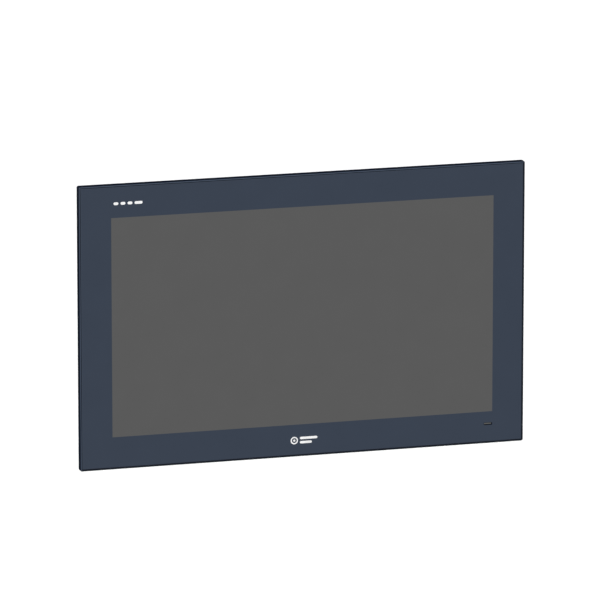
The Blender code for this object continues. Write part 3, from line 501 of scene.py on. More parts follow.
def make_finishes():
    along_x, along_z, even = (0.03, 1, 1), (1, 1, 0.02), (1, 1, 1)
    return [
        painted("frame_paint", PANEL_BLUE, 0.55, 0.12),
        # painted shade: a near-black coat for the frame's sides and round the status lens
        painted("painted_shade_coat", (0.0042, 0.0061, 0.0112), 0.9, 0.0, slot="frame_paint"),
        printed_glass(),
        powder_coat("tray_paint", (0.115, 0.12, 0.126)),
        zinc("zinc_steel", (0.47, 0.48, 0.49)),
        brushed("steel_screw", (0.58, 0.58, 0.59), 0.3, even),
        brushed("sink_aluminium", (0.068, 0.069, 0.073), 0.4, along_z, metallic=0.35),
        brushed("bare_aluminium", (0.33, 0.34, 0.35), 0.42, along_x),
        brushed("brass", (0.62, 0.44, 0.17), 0.28, even),
        brushed("gold", (0.83, 0.6, 0.24), 0.25, even, slot="brass"),
        brushed("plate", (0.46, 0.47, 0.48), 0.44, along_x, metallic=0.7, slot="bare_aluminium"),
        moulded("black_rubber", (0.018, 0.018, 0.019), 0.78, 700, 0.00003),
        moulded("edge_seal", (0.006, 0.008, 0.012), 0.85, slot="black_rubber", specular=0.05),
        moulded("black_plastic", (0.02, 0.02, 0.022), 0.48),
        moulded("pad_plastic", (0.03, 0.03, 0.032), 0.46),
        moulded("green_plastic", (0.028, 0.2, 0.08), 0.45),
        moulded("red_plastic", (0.4, 0.026, 0.018), 0.4),
        ink("ink", (0.8, 0.8, 0.8), 0.55, "front_glass"),
        ink("label_ink", (0.035, 0.075, 0.13), 0.5, "film"),
        ink("switch_ink", (0.72, 0.72, 0.7), 0.5, "black_plastic"),
        circuit_board(),
        frosted("film", (0.55, 0.57, 0.58), 0.25),
        frosted("clear_plastic", (0.3, 0.31, 0.315), 0.3),
        frosted("lens_plastic", (0.085, 0.085, 0.08), 0.4, slot="clear_plastic"),
        frosted("screen", (0.1, 0.1, 0.1), 0.35),
        frosted("green_lens", (0.05, 0.42, 0.1), 0.25, slot="clear_plastic"),
        frosted("amber_lens", (0.75, 0.33, 0.03), 0.25, slot="clear_plastic"),
    ]


FINISHES = {finish.name: finish for finish in make_finishes()}


# -------- placing pieces
BODIES = {
    node: body for body, nodes in frame["record"]["behaviour"]["bodies"].items() for node in nodes
}
SLOTS = {row["node"]: row["material_slot"] for row in frame["record"]["subparts"]}


def piece(name, mesh, finish, body="panel", rounding=0.0, stands_for=(), steps=2, corners=32):
    """Adds a finished piece, of one mesh or of parts to gather, that rides on a body."""
    if isinstance(mesh, list):
        mesh = gathered(mesh)
    made = place_in_scene(name, mesh)
    if not mesh.materials:
        mesh.materials.append(FINISHES[finish].material)
    mesh.shade_smooth()
    mesh.set_sharp_from_angle(angle=SMOOTH_ANGLE)
    if rounding:
        bevel = made.modifiers.new("rounded edges", "BEVEL")
        bevel.width = rounding
        bevel.segments = steps
        bevel.limit_method = "ANGLE"
        bevel.angle_limit = radians(corners)
    weighted = made.modifiers.new("flat faces stay flat", "WEIGHTED_NORMAL")
    weighted.keep_sharp = True
    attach(made, body)
    if stands_for:
        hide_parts(*stands_for)
    return made


def soften(node, name, rounding, steps=2):
    """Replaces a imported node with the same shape, its edges rounded."""
    return piece(name, merged(node), SLOTS[node], BODIES[node], rounding, [node], steps)


def middle(node):
    low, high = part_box(node)
    return (low + high) / 2


# -------- screws
def pan_head(radius, height):
    """Low round head with a lobed recess, standing on y = 0."""
    return loft("Y", [
        (circle(radius), -SINK_IN), (circle(radius), 0.35 * height),
        (circle(0.93 * radius), 0.7 * height), (circle(0.76 * radius), 0.93 * height),
        (circle(0.6 * radius), height),
        (star(0.42 * radius), height), (star(0.4 * radius), 0.35 * height),
    ])


def flat_head(radius):
    """Countersunk head that lies almost flush, with a lobed recess."""
    proud = 0.00015
    return loft("Y", [
        (circle(radius), -SINK_IN), (circle(radius), 0.5 * proud), (circle(0.92 * radius), proud),
        (star(0.44 * radius), proud), (star(0.42 * radius), proud - 0.0001),
    ])


def hex_nut(across, height, bore):
    """Nut or hexagonal post standing on y = 0, chamfered at its outer end."""
    outer = across / 2 / cos(pi / 6)
    chamfer = 0.04 * across
    return loft("Y", [
        (circle(bore), 0), (hexagon(outer), 0), (hexagon(outer), height - chamfer),
        (circle(across / 2 - chamfer), height), (circle(bore), height),
    ], ring_shaped=True)


def screws(name, head, places, direction):
    turn = facing(direction)
    piece(name, [(head, moved(*place) @ turn) for place in places], "steel_screw")


# -------- front
def status_outline(width, height, radius, shift=(0, 0)):
    """Rounded rectangle about the status light's middle, or a shift away from it."""
    centre = middle("status_light_pipe")
    return rounded(width, height, radius, (centre.x + shift[0], centre.z + shift[1]), 4)


def printed(outline, holes=()):
    """A printed shape on the glass."""
    return prism("Y", outline, FRONT_FACE - MARK_PROUD, FRONT_FACE + MARK_SUNK, holes)


def make_frame():
    """Die-cast frame: a rounded rim, the glass shelf, the rib into the cutout, the seal groove."""
    face, shelf = FRONT_FACE, FRONT_FACE + SHELF_DEPTH
    chamfer_start = face + RIM_CHAMFER
    rib_outer = WINDOW_INSET - RIB_THICKNESS
    groove_end = GROOVE_INSET + GROOVE_WIDTH
    back_edge, rib_edge, blend = 0.0004, 0.0005, 0.00015
    casting = framed([
        (back_edge, FRAME_BACK), (0, FRAME_BACK - back_edge),
        (0, chamfer_start + blend), (0.4 * blend, chamfer_start - 0.6 * blend),
        (chamfer_start - PAINTED_SHADE_START, PAINTED_SHADE_START),
        (RIM_CHAMFER - 0.6 * blend, face + 0.4 * blend), (RIM_CHAMFER + blend, face),
        (RIM, face), (RIM, shelf), (WINDOW_INSET, shelf),
        (WINDOW_INSET, RIB_END - rib_edge), (WINDOW_INSET - rib_edge, RIB_END),
        (rib_outer + rib_edge, RIB_END), (rib_outer, RIB_END - rib_edge), (rib_outer, FRAME_BACK),
        (groove_end, FRAME_BACK), (groove_end, GROOVE_FLOOR),
        (GROOVE_INSET, GROOVE_FLOOR), (GROOVE_INSET, FRAME_BACK),
    ])

    # A notch in the shelf and the rib makes room for the status light and its board.
    low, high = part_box("status_light_pipe")
    past, side_room, half_notch = 0.001, 0.0025, 0.0016
    notch_low = (low.x - side_room, shelf - past, middle("status_light_pipe").z - half_notch)
    notch_high = (high.x + side_room, RIB_END + past, WINDOW_INSET + past - FRONT_HEIGHT / 2)
    casting = cut(casting, block(notch_low, notch_high))
    made = piece("front_frame_casting", casting, "frame_paint", stands_for=["front_frame"])

    # The outer sides, from the dark coat's start to the back, are painted near-black: painted shade
    # along the frame's silhouette.
    made.data.materials.append(FINISHES["painted_shade_coat"].material)
    for polygon in made.data.polygons:
        x, depth, z = polygon.center
        outer = max(abs(x) - FRONT_WIDTH / 2, abs(z) - FRONT_HEIGHT / 2) > -FRONT_RADIUS
        if outer and PAINTED_SHADE_START < depth < FRAME_BACK:
            polygon.material_index = 1


def make_glass():
    """Cover glass with a ground edge and a slot for the status lens, in a bead of sealant."""
    face, back = FRONT_FACE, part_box("cover_glass")[1].y
    edge = RIM + GLASS_GAP
    ground = 0.0004
    profile = [(edge + ground, face), (edge + 0.3 * ground, face + 0.3 * ground)]
    profile += [(edge, face + ground), (edge, back)]
    slot = status_outline(*STATUS_SIZE, STATUS_RADIUS)
    pane = framed(profile, False, [slot])
    piece("cover_glass_pane", pane, "front_glass", stands_for=["cover_glass"])

    play, recess = 0.00002, 0.0005
    outer, inner, top = RIM + play, edge - play, face + recess
    bead = framed([(outer, back), (outer, top), (inner, top), (inner, back)])
    piece("edge_bead", bead, "edge_seal")


def make_marks():
    """Neutral printed marks, a hair proud of the glass: bars and rings in place of any name."""
    bar_height, between = 0.0034, 0.0026
    x, z = -SCREEN_WIDTH / 2 + 0.003, SCREEN_HEIGHT / 2 + 0.0172
    parts = []
    for length in (0.006, 0.006, 0.006, 0.0098):
        parts.append(printed(stadium(length, bar_height, (x + length / 2, z))))
        x += length + between
    piece("printed_mark_upper", parts, "ink")

    ring_x, bars_x, z = -0.012, -0.005, -SCREEN_HEIGHT / 2 - 0.0196
    dot = 0.0014
    outline, hole = [circle(radius, 40, (ring_x, z)) for radius in (0.0046, 0.0031)]
    parts = [printed(outline, [hole]), printed(circle(dot, centre=(ring_x, z)))]
    for row, length in ((0.0026, 0.022), (-0.0026, 0.015)):
        parts.append(printed(stadium(length, 0.003, (bars_x + length / 2, z + row))))
    piece("printed_mark_lower", parts, "ink")


def make_status_light():
    """Frosted lens just below the glass, with painted shade under it and to its right: a dark print
    where a recess's walls would be shaded.
    """
    low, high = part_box("status_light_pipe")
    play, edge, flange, radius = 0.0001, 0.00015, 0.001, 0.0005
    width, height = STATUS_SIZE[0] - 2 * play, STATUS_SIZE[1] - 2 * play
    lens = status_outline(width, height, radius)
    shrunk = status_outline(width - 2 * edge, height - 2 * edge, radius - edge)
    foot = status_outline(high.x - low.x, high.z - low.z, radius)
    lens_face = FRONT_FACE + 0.0002
    pipe = loft("Y", [
        (shrunk, lens_face), (lens, lens_face + edge), (lens, high.y - flange),
        (foot, high.y - flange), (foot, high.y),
    ])
    piece("status_lens", pipe, "lens_plastic", stands_for=["status_light_pipe"])

    wide, narrow = 0.0009, 0.0002  # margins of the painted shade print: below and right, above and left
    shift = (wide - narrow) / 2
    size = [side + wide + narrow for side in STATUS_SIZE]
    # A dark print offset down and to the right: painted shade, as if the lens sat in a deep recess.
    outer = status_outline(*size, STATUS_RADIUS + 0.0001, (shift, -shift))
    painted_shade = printed(outer, [status_outline(*STATUS_SIZE, STATUS_RADIUS)])
    piece("status_painted_shade", painted_shade, "painted_shade_coat")


def make_gasket():
    """Rubber ring in the frame's groove, with two sealing lips that stand up to the wall."""
    outer, inner = GROOVE_INSET + GAP, GROOVE_INSET + GROOVE_WIDTH - GAP
    shoulder = FRAME_BACK - GAP
    dip, dip_width, fullness, steps = 0.00035, 0.35, 0.6, 16
    profile = [(outer, GROOVE_FLOOR + GAP)]
    for step in range(steps + 1):
        angle = step / steps * pi
        inset = (outer + inner) / 2 - (inner - outer) / 2 * cos(angle)
        crown = -shoulder * sin(angle) ** fullness
        between_lips = dip * exp(-((cos(angle) / dip_width) ** 2))
        profile.append((inset, shoulder + crown - between_lips))
    profile.append((inner, GROOVE_FLOOR + GAP))
    piece("sealing_ring", framed(profile), "black_rubber", stands_for=["panel_gasket"])


# -------- tray
def ridge(start, end, width, height):
    """A pressed bead with round ends on the tray's floor, from one (x, z) to another."""
    start, end = Vector(start), Vector(end)
    centre, run = (start + end) / 2, end - start
    crown = 0.92  # share of the half width that curves in
    sections = []
    for step in range(6):
        angle = step / 5 * pi / 2
        shrink = width / 2 * (1 - cos(angle)) * crown
        outline = stadium(run.length + width - 2 * shrink, width - 2 * shrink, steps=8)
        sections.append((outline, height * sin(angle) if step else -SINK_IN))
    turn = Matrix.Rotation(-atan2(run.y, run.x), 4, "Y")
    return loft("Y", sections), moved(centre.x, TRAY_BACK, centre.y) @ turn


def make_tray():
    soften("rear_tray", "tray_shell", 0.0004)
    low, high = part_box("rear_tray")

    # Pressed beads stiffen the strips round the computer box: (x, z) of their ends, and width.
    strip = (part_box("box_chassis")[1].z + high.z) / 2
    kinds = [
        ((0.03, strip), (0.15, strip), 0.006),
        ((0.246, 0.012), (0.246, 0.084), 0.005),
        ((0.182, 0.104), (0.238, 0.104), 0.005),
    ]
    beads = []
    for sz in (-1, 1):
        for sx in (-1, 1):
            for start, end, width in kinds:
                start, end = (sx * start[0], sz * start[1]), (sx * end[0], sz * end[1])
                beads.append(ridge(start, end, width, 0.0012))
    piece("tray_beads", beads, "tray_paint")

    # Countersunk screws join the tray's walls to the frame's rib.
    depth = 0.0036
    head = flat_head(0.0027)
    columns, rows = (-0.235, -0.085, 0.085, 0.235), (-0.1, 0.1)
    screws("tray_screws_top", head, [(x, depth, high.z) for x in columns], (0, 0, 1))
    screws("tray_screws_bottom", head, [(x, depth, low.z) for x in columns], (0, 0, -1))
    screws("tray_screws_left", head, [(low.x, depth, z) for z in rows], (-1, 0, 0))
    screws("tray_screws_right", head, [(high.x, depth, z) for z in rows], (1, 0, 0))

    # Pan-head screws through the tray's floor hold the display module.
    places = [(sx * 0.246, TRAY_BACK, sz * 0.1425) for sx in (-1, 1) for sz in (-1, 1)]
    places += [(0, TRAY_BACK, -strip), (0, TRAY_BACK, strip)]
    screws("tray_screws_back", pan_head(0.003, 0.0019), places, (0, 1, 0))


def make_rating_plate():
    """A plate with a ruled border and three lines, no text, held by four dome rivets."""
    x, z = -0.2095, -0.1265
    width, height, face = 0.052, 0.03, TRAY_BACK + 0.0004
    plate = prism("Y", rounded(width, height, 0.002, (x, z)), TRAY_BACK - SINK_IN, face)
    piece("rating_plate", plate, "plate", rounding=0.00015)

    low, high = face - 0.0001, face + 0.00015
    outer = rounded(width - 0.01, height - 0.008, 0.0015, (x, z))
    inner = rounded(width - 0.012, height - 0.01, 0.0008, (x, z))
    parts = [prism("Y", outer, low, high, [inner])]
    for n in (-1, 0, 1):
        line = stadium(width - 0.018, 0.0012, (x, z + 0.0052 * n))
        parts.append(prism("Y", line, low, high))
    piece("rating_plate_lines", parts, "black_plastic")

    dome = [(0.0011, -SINK_IN), (0.0011, 0.0002), (0.0008, 0.0006), (0.0003, 0.0008)]
    reach_x, reach_z = width / 2 - 0.0025, height / 2 - 0.0025
    places = [(x + sx * reach_x, face, z + sz * reach_z) for sx in (-1, 1) for sz in (-1, 1)]
    screws("rating_plate_rivets", turned("Y", dome, 20), places, (0, 1, 0))


# -------- computer box
def make_box():
    """Shell of the box, the screws of its lid, and the folded feet that hold it to the tray."""
    soften("box_chassis", "box_shell", 0.0003)
    low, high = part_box("box_chassis")
    head = pan_head(0.0028, 0.0016)
    row = high.y - 0.0045
    screws("box_screws_left", head, [(low.x, row, z) for z in (-0.1, 0, 0.1)], (-1, 0, 0))
    screws("box_screws_right", head, [(high.x, row, z) for z in (-0.1, -0.02)], (1, 0, 0))
    top = [(x, high.y - 0.003, high.z) for x in (-0.157, 0.157)]
    screws("box_screws_top", head, top, (0, 0, 1))

    # The drive caddy leaves no room for the upper foot on the right.
    play, sheet, reach, rise = 0.0002, 0.0014, 0.0125, 0.013
    bend = 0.0012
    upper = play + sheet
    section = [(0, play), (reach, play), (reach, upper), (sheet + bend, upper)]
    section += [(sheet, upper + bend), (sheet, rise), (0, rise)]
    feet, heads = [], []
    for side, rows in ((-1, (-0.085, 0.0, 0.085)), (1, (-0.085, 0.0))):
        wall = side * (high.x + GAP)
        outline = [(wall + side * out, TRAY_BACK + up) for out, up in section]
        for z in rows:
            feet.append(prism("Z", outline, z - 0.009, z + 0.009))
            heads.append((wall + side * 0.0078, TRAY_BACK + upper, z))
    piece("box_feet", feet, "zinc_steel", rounding=0.0003)
    screws("box_feet_screws", head, heads, (0, 1, 0))


def make_heat_sink():
    """Extruded comb with round fin tips, small fillets at the fins' feet and screwed flanges."""
    low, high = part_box("heat_sink")
    valley = low.y + SINK_BASE
    radius = FIN_THICKNESS / 2
    fillet, draft, tip_steps = 0.0008, 0.0002, 8
    outline = [(high.x, valley), (high.x, low.y), (low.x, low.y), (low.x, valley)]
    for n in range(FIN_COUNT):
        x = -FIN_SPAN / 2 + radius + n * (FIN_SPAN - FIN_THICKNESS) / (FIN_COUNT - 1)
        outline += [(x - radius - fillet, valley), (x - radius - draft, valley + fillet)]
        for step in range(tip_steps + 1):
            angle = pi - step / tip_steps * pi
            outline.append((x + radius * cos(angle), high.y - radius + radius * sin(angle)))
        outline += [(x + radius + draft, valley + fillet), (x + radius + fillet, valley)]
    comb = prism("Z", outline, low.z, high.z)
    piece("heat_sink_comb", comb, "sink_aluminium", "panel", 0.0002, ["heat_sink"], corners=60)
    flange = (high.x + FIN_SPAN / 2 + radius) / 2
    places = [(sx * flange, valley, z) for sx in (-1, 1) for z in (-0.105, -0.035, 0.035, 0.105)]
    screws("heat_sink_screws", pan_head(0.0027, 0.0018), places, (0, 1, 0))


# -------- sockets
def make_shell(kind, n):
    """A socket's shell, black inside: partly the dark insulator, partly painted shade in the socket's
    mouth. Gives its box, and its middle in X.
    """
    node = f"{kind}_socket_{n}"
    low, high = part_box(node)
    wall = 0.0004
    mesh = soften(node, f"{kind}_shell_{n}", 0.0002).data
    # Inner faces take black plastic: partly painted shade on the mouth's walls.
    mesh.materials.append(FINISHES["black_plastic"].material)
    for polygon in mesh.polygons:
        if all(low[k] + wall < polygon.center[k] < high[k] - wall for k in range(3)):
            polygon.material_index = 1
    return low, high, middle(node).x


def make_usb(n):
    """Two stacked ports, each with a tongue that has four contacts on its front side."""
    low, _, x = make_shell("usb", n)
    pitch, thickness, let_in, proud = 0.0024, 0.0019, 0.0001, 0.00015
    tongues, contacts = [], []
    for tongue_back in (0.0054, 0.0131):
        back = low.y + tongue_back
        front = back - thickness
        tongues.append(bar(x, 0.0108, (front, low.z + 0.001), (back, low.z + 0.0122)))
        for k in range(4):
            start, end = (front - proud, low.z + 0.002), (front + let_in, low.z + 0.011)
            contacts.append(bar(x + (k - 1.5) * pitch, 0.001, start, end))
    piece(f"usb_tongues_{n}", tongues, "black_plastic", rounding=0.0002)
    piece(f"usb_contacts_{n}", contacts, "gold", rounding=0.00005)


def make_ethernet(n):
    """Socket with eight slanted contacts and two little lenses beside its mouth."""
    low, high, x = make_shell("ethernet", n)
    pitch, width = 0.00102, 0.0004
    section = [(0.0012, 0.003), (0.0012, 0.0034), (0.004, 0.01), (0.004, 0.0096)]
    outline = [(low.y + y, low.z + z) for y, z in section]
    places = [x + (k - 3.5) * pitch for k in range(8)]
    contacts = [prism("X", outline, place - width / 2, place + width / 2) for place in places]
    piece(f"ethernet_contacts_{n}", contacts, "gold")
    for side, colour in ((-1, "green_lens"), (1, "amber_lens")):
        centre = (x + side * 0.0054, high.y - 0.0018)
        outline = rounded(0.003, 0.0015, 0.0003, centre, 3)
        lens = prism("Z", outline, low.z - 0.00015, low.z + 0.0003)
        piece(f"ethernet_{colour}_{n}", lens, colour, rounding=0.0001)


def make_serial():
    """Serial port: its insulator, two rows of pins and two threaded posts."""
    soften("serial_port", "serial_shell", 0.0002)
    centre = middle("serial_port")
    face = BOX_BOTTOM - PORT_PROUD
    floor = face - GAP
    outline = rounded(0.0158, 0.0072, 0.0014, (centre.x, centre.y), 4)
    insulator = prism("Z", outline, floor - 0.0022, floor + 0.0004)
    piece("serial_insulator", insulator, "black_plastic", rounding=0.0002)

    pitch, row_offset = 0.00277, 0.00142
    pin = turned("Z", [(0.0005, 0.0), (0.0005, -0.0046), (0.0003, -0.0052), (0.0001, -0.0053)], 12)
    pins = []
    for row, count in ((row_offset, 5), (-row_offset, 4)):
        for k in range(count):
            x = centre.x + (k - (count - 1) / 2) * pitch
            pins.append((pin, moved(x, centre.y + row, floor - 0.0021)))
    piece("serial_pins", pins, "gold")

    places = [(centre.x + side * 0.0125, centre.y, face - 0.0001) for side in (-1, 1)]
    screws("serial_jackscrews", hex_nut(0.0048, 0.005, 0.0014), places, (0, 0, -1))


def make_dc():
    """Power inlet with three blades."""
    soften("dc_inlet", "dc_inlet_shell", 0.00025)
    low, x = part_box("dc_inlet")[0], middle("dc_inlet").x
    pitch, width = 0.00508, 0.001
    start, end = (low.y + 0.0052, low.z + 0.002), (low.y + 0.0062, low.z + 0.0104)
    blades = [bar(x + k * pitch, width, start, end) for k in (-1, 0, 1)]
    piece("dc_inlet_pins", blades, "brass", rounding=0.00015)


def make_switch():
    """Power rocker: a ring is printed on the half for off, a bar on the half for on."""
    soften("power_switch_housing", "switch_bezel", 0.0005, 3)
    soften("power_rocker", "rocker_cap", 0.0005, 3)
    centre = middle("power_switch_housing")
    pivot = moved(centre.x, centre.y, BOX_BOTTOM + ROCKER_LIFT)
    rise = (ROCKER_TIP - ROCKER_DIP) / ROCKER_HALF
    ring = prism("Z", circle(0.0017, 32), *SWITCH_PRINT, [circle(0.0012, 32)])
    line = prism("Z", rounded(0.0006, 0.0036, 0.0002, steps=3), *SWITCH_PRINT)
    reach = 0.0046  # of a mark from the pivot
    parts = []
    for side, mark in ((-1, ring), (1, line)):
        place = pivot @ Matrix.Rotation(ROCKER_TILT, 4, "Y")
        place @= moved(side * reach, 0, -ROCKER_DIP - rise * reach)
        parts.append((mark, place @ Matrix.Rotation(side * asin(rise), 4, "Y")))
    piece("rocker_marks", parts, "switch_ink", BODIES["power_rocker"])


def make_button():
    """Reset button: dished at its end, with a collar behind the wall."""
    low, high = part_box("reset_button")
    centre = middle("reset_button")
    radius, collar, stem = 0.002, (high.x - low.x) / 2, 0.0016
    seat = BOX_BOTTOM + 0.0018
    collar_top = seat + 0.001
    button = turned("Z", [
        (0.0006, low.z + 0.0003), (0.0012, low.z + 0.00012), (0.0016, low.z),
        (radius - 0.0001, low.z + 0.0002), (radius, low.z + 0.0006), (radius, seat),
        (collar, seat), (collar, collar_top), (stem, collar_top), (stem, high.z),
    ], 32, (centre.x, centre.y))
    piece("reset_cap", button, "red_plastic", BODIES["reset_button"], stands_for=["reset_button"])


def make_earth():
    """Threaded earth stud with its washer and nut, and the earth sign beside it."""
    radius, pitch, depth, tip = 0.0025, 0.0008, 0.0004, 0.0004
    centre = middle("earth_stud")
    face = BOX_BOTTOM - GAP
    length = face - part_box("earth_stud")[0].z
    ends = [[(radius, -0.0008), (radius, 0.0)], [(0.0022, length - tip), (0.0019, length)]]
    stud = loft("Y", threaded(radius, pitch, depth, 0.0002, length - 0.0012, ends))
    washer = [(0.0048, 0.0), (0.005, 0.0002), (0.005, 0.0008), (0.0048, 0.001), (0.0026, 0.001)]
    inner_nut = [(0.0025, 0.0008), (0.0042, -0.0018), (0.0042, -0.0046), (0.002, -0.0046)]
    place = moved(centre.x, centre.y, face) @ facing((0, 0, -1))
    parts = [
        (stud, place),
        (turned("Y", washer, 40), place),
        (hex_nut(0.008, 0.0036, 0.0024), place @ moved(0, 0.0011, 0)),
        (turned("Y", inner_nut, 6), place),
    ]
    piece("earth_terminal", parts, "brass", stands_for=["earth_stud"])

    # The sign: a stem and three bars, each shorter than the last.
    y, low, high = centre.y + 0.0085, BOX_BOTTOM + SWITCH_PRINT[0], BOX_BOTTOM + 0.00012
    lines = [(0.005, 0.0, 0.0005), (0.0032, 0.0011, 0.0016), (0.0015, 0.0022, 0.0027)]
    lines.append((0.0005, -0.002, 0.0))
    parts = [bar(centre.x, width, (y + start, low), (y + end, high)) for width, start, end in lines]
    piece("earth_sign", parts, "switch_ink")


def make_sockets():
    for n in (1, 2):
        make_usb(n)
        make_ethernet(n)
    make_serial()
    make_dc()
    make_switch()
    make_button()
    make_earth()


# -------- drive caddy
def make_drive_label():
    """Blank label on the drive, with generic print: a band, four lines and a block of stripes."""
    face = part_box("solid_state_drive")[1].y
    centre = middle("solid_state_drive")
    x, z = centre.x + 0.006, centre.z
    label = rounded(0.07, 0.05, 0.002, (x, z))
    piece("drive_label", prism("Y", label, face - 0.00005, face + 0.00012), "film", "caddy")

    half_width = 0.031
    outlines = [rounded(2 * half_width, 0.0075, 0.0008, (x, z + 0.0175), 3)]
    for n, length in enumerate((0.03, 0.024, 0.028, 0.018)):
        place = (x + half_width - length / 2, z + 0.0085 - 0.0048 * n)
        outlines.append(stadium(length, 0.0011, place))
    edge = x - half_width
    for n in range(13):
        thickness = (0.0006, 0.0011, 0.0004, 0.0009)[n % 4]
        outlines.append(rectangle(edge, z - 0.0185, edge + thickness, z - 0.0085))
        edge += thickness + 0.0009 + 0.0003 * (n % 3)
    parts = [prism("Y", outline, face + 0.00008, face + 0.00016) for outline in outlines]
    piece("drive_label_print", parts, "label_ink", "caddy")


def make_caddy_front():
    """Finger ridges on both sides of the pull, a field for a label, and a light."""
    high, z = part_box("drive_caddy")[1], middle("solid_state_drive").z
    pull_y = middle("caddy_thumbscrew").y
    pitch, width, start, end = 0.0034, 0.0012, 0.0007, 0.0011
    ridges = []
    for side in (-1, 1):
        near, far = sorted((side * start, side * end))
        for k in range(7):
            place = z + (k - 3) * pitch
            rib_low = (high.x - 0.0052, pull_y + near, place - width / 2)
            rib_high = (high.x - 0.0012, pull_y + far, place + width / 2)
            ridges.append(block(rib_low, rib_high))
    piece("caddy_ridges", ridges, "tray_paint", "caddy", rounding=0.00015)

    face = high.x - 0.007
    field = rounded(0.009, 0.023, 0.001, (0.0515, z + 0.029), 4)
    field = prism("X", field, face - SINK_IN, face + 0.00015)
    piece("caddy_label_field", field, "plate", "caddy")
    dome = [(0.0011, -SINK_IN), (0.0011, 0.0002), (0.0007, 0.0006), (0.0002, 0.0007)]
    dome = [(radius, face + along) for radius, along in dome]
    piece("caddy_light", turned("X", dome, 20, (0.056, z - 0.031)), "green_lens", "caddy")


def make_thumbscrew():
    """Knurled knob with a driver slot, and a threaded tip."""
    low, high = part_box("caddy_thumbscrew")
    centre = middle("caddy_thumbscrew")
    radius, knob_start = (high.z - low.z) / 2, high.x - 0.005
    slot_depth, slot_half, past = 0.0012, 0.0005, 0.001
    knob = loft("Y", knurled(radius, 0.00022, knob_start, high.x))
    slot_low = (-radius - past, high.x - slot_depth, -slot_half)
    slot_high = (radius + past, high.x + past, slot_half)
    knob = cut(knob, block(slot_low, slot_high))
    ends = [
        [(0.0009, low.x), (0.0012, low.x + 0.0003)],
        [(0.0014, knob_start - 0.0009), (0.0014, knob_start + 0.0004)],
    ]
    thread_start, thread_end = low.x + 0.0004, knob_start - 0.0012
    tip = loft("Y", threaded(0.0015, 0.0005, 0.0002, thread_start, thread_end, ends, sides=20))
    place = moved(0, centre.y, centre.z) @ facing((1, 0, 0))
    parts = [(knob, place), (tip, place)]
    piece("thumbscrew_knob", parts, "steel_screw", "thumbscrew", stands_for=["caddy_thumbscrew"])


def make_caddy():
    soften("drive_caddy", "caddy_tray", 0.0003)
    soften("solid_state_drive", "drive_case", 0.0005, 3)
    make_drive_label()
    make_caddy_front()
    make_thumbscrew()


# -------- clamps
def clamp_screw_mesh(face, back):
    """Screw with a plain tip, a cylinder head and a hexagonal socket, about its own axis."""
    head = back - HEAD_LENGTH
    seat = face + 0.0035 + GAP
    edge, thin = 0.0004, 0.0002
    ends = [
        [(SCREW_TIP - 0.0003, face + 0.0012), (SCREW_TIP, face + 0.0015), (SCREW_TIP, seat - 0.0001)],
        [(SCREW_RADIUS - thin, head - 0.0008), (SCREW_RADIUS, head)],
    ]
    sections = threaded(SCREW_RADIUS, SCREW_PITCH, THREAD_DEPTH, seat, head - 0.0014, ends)
    sections += [
        (circle(HEAD_RADIUS - thin), head), (circle(HEAD_RADIUS), head + thin),
        (circle(HEAD_RADIUS), back - edge), (circle(HEAD_RADIUS - 0.4 * edge), back - 0.3 * edge),
        (circle(HEAD_RADIUS - edge), back), (circle(HEX_RADIUS * 1.12), back),
        (hexagon(HEX_RADIUS), back - thin), (hexagon(HEX_RADIUS), back - HEX_DEPTH),
    ]
    return loft("Y", sections)


def clamp_pad_mesh(face, back):
    """Cup with a ribbed waist, about its own axis."""
    waist = PAD_RADIUS - 0.0003
    profile = [(PAD_BORE, face + 0.0009), (PAD_BORE, back), (0.0029, back), (0.0033, back - 0.0002)]
    profile += [(0.0037, back - 0.0008), (waist, back - 0.0011)]
    for rib in (0.0019, 0.0012):
        profile += [(PAD_RADIUS, face + rib + 0.0002), (PAD_RADIUS, face + rib - 0.0001)]
        profile += [(waist, face + rib - 0.0003)]
    profile += [(PAD_RADIUS, face + 0.0006), (PAD_RADIUS, face + 0.0004), (PAD_RADIUS - 0.0004, face)]
    return turned("Y", profile, 36)


def make_clamps():
    pad_low, pad_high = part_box("clamp_pad_1")
    screw = clamp_screw_mesh(pad_low.y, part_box("clamp_screw_1")[1].y)
    pad = clamp_pad_mesh(pad_low.y, pad_high.y)
    for n in range(1, CLAMP_COUNT + 1):
        centre = middle(f"clamp_pad_{n}")
        place = moved(centre.x, 0, centre.z)
        soften(f"clamp_bracket_{n}", f"clamp_arm_{n}", 0.0004)
        for kind, mesh, finish in (("pad", pad, "pad_plastic"), ("screw", screw, "steel_screw")):
            node = f"clamp_{kind}_{n}"
            copy = mesh.copy()
            copy.transform(place)
            piece(f"clamp_{kind}_fine_{n}", copy, finish, BODIES[node], stands_for=[node])


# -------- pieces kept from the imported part
def finish_kept_nodes():
    for name, node in frame["nodes"].items():
        if node.hide_render:
            continue
        material = FINISHES[SLOTS[name]].material
        if not node.material_slots:
            node.data.materials.append(material)
        for slot in node.material_slots:
            slot.material = material


# -------- studio
def make_world():
    """Soft grey surroundings, lighter above, and white where the floor runs out."""
    world = bpy.data.worlds.new("studio")
    bpy.context.scene.world = world
    world.use_nodes = True
    nodes = Nodes(world.node_tree)
    up = nodes.add("SeparateXYZ", {0: nodes.add("TexCoord")["Generated"]})["Z"]
    levels = [(0.0, 0.09), (0.46, 0.16), (0.49, 0.34), (0.51, 0.34), (0.55, 0.25), (1.0, 0.4)]
    stops = [(height, (level, level, level)) for height, level in levels]
    grey = nodes.ramp(nodes.spread(up, -1, 1, 0, 1), stops)
    surroundings = nodes.add("Background", {"Color": grey})["Background"]
    backdrop = nodes.add("Background", {"Color": (1.01, 1.01, 1.01, 1)})["Background"]
    straight = nodes.add("LightPath")["Is Camera Ray"]
    chosen = nodes.add("MixShader", {0: straight, 1: surroundings, 2: backdrop})["Shader"]
    nodes.put(world.node_tree.nodes["World Output"].inputs["Surface"], chosen)


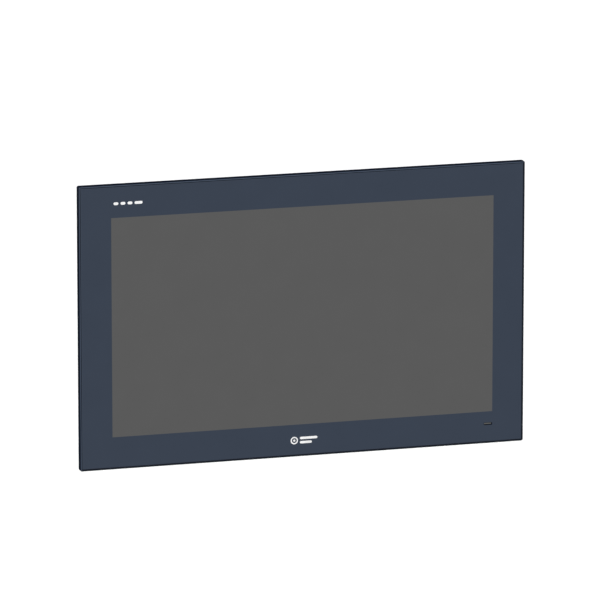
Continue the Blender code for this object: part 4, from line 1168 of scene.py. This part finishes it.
def toward(azimuth, elevation):
    """Direction from the object: azimuth 0 is in front of the screen, 90 is to its right."""
    a, e = radians(azimuth), radians(elevation)
    return Vector((sin(a) * cos(e), -cos(a) * cos(e), sin(e)))


def turn_to(made, direction, axis):
    made.rotation_mode = "QUATERNION"
    made.rotation_quaternion = direction.to_track_quat(axis, "Y")


def add_sun(name, azimuth, elevation, level, softness):
    sun = bpy.data.lights.new(name, "SUN")
    sun.energy = level * pi
    sun.angle = radians(softness)
    turn_to(place_in_scene(name, sun), toward(azimuth, elevation), "Z")


def make_floor():
    """Wide and far below, so that the object can be seen from underneath as well."""
    half_size, height = 200, -6.0
    bm = bmesh.new()
    bmesh.ops.create_grid(bm, x_segments=1, y_segments=1, size=half_size)
    floor = place_in_scene("floor", closed(bm, "floor"))
    floor.location.z = height
    pale = Finish("pale_floor", (0.53, 0.53, 0.53), 0.9, specular=0.0)
    pale.vary_colour(pale.noise(0.3), 0.01)
    floor.data.materials.append(pale.material)
    floor.visible_diffuse = False
    floor.visible_glossy = False


def make_camera():
    azimuth, elevation, distance = -16.17, 12.78, 8.0
    aim_right, aim_up = -0.00467, 0.01892  # of the view's middle, from the front face's
    camera = bpy.data.cameras.new("camera")
    camera.lens = 400
    camera.clip_end = 1000
    made = place_in_scene("camera", camera)
    back = toward(azimuth, elevation)
    right = Vector((cos(radians(azimuth)), sin(radians(azimuth)), 0))
    face = Vector((0, FRONT_FACE, 0))
    made.location = face + right * aim_right + back.cross(right) * aim_up + back * distance
    turn_to(made, -back, "-Z")
    bpy.context.scene.camera = made


def make_studio():
    bpy.context.scene.view_settings.view_transform = "Standard"
    make_world()
    add_sun("key", -45, 34, 1.6, 25)
    add_sun("back", 150, 40, 1.15, 75)
    add_sun("back fill", 222, 12, 0.45, 60)
    add_sun("low fill", 190, -38, 0.35, 60)
    make_floor()
    make_camera()


make_frame()
make_glass()
make_marks()
make_status_light()
make_gasket()
make_tray()
make_rating_plate()
make_box()
make_heat_sink()
make_sockets()
make_caddy()
make_clamps()
finish_kept_nodes()
make_studio()
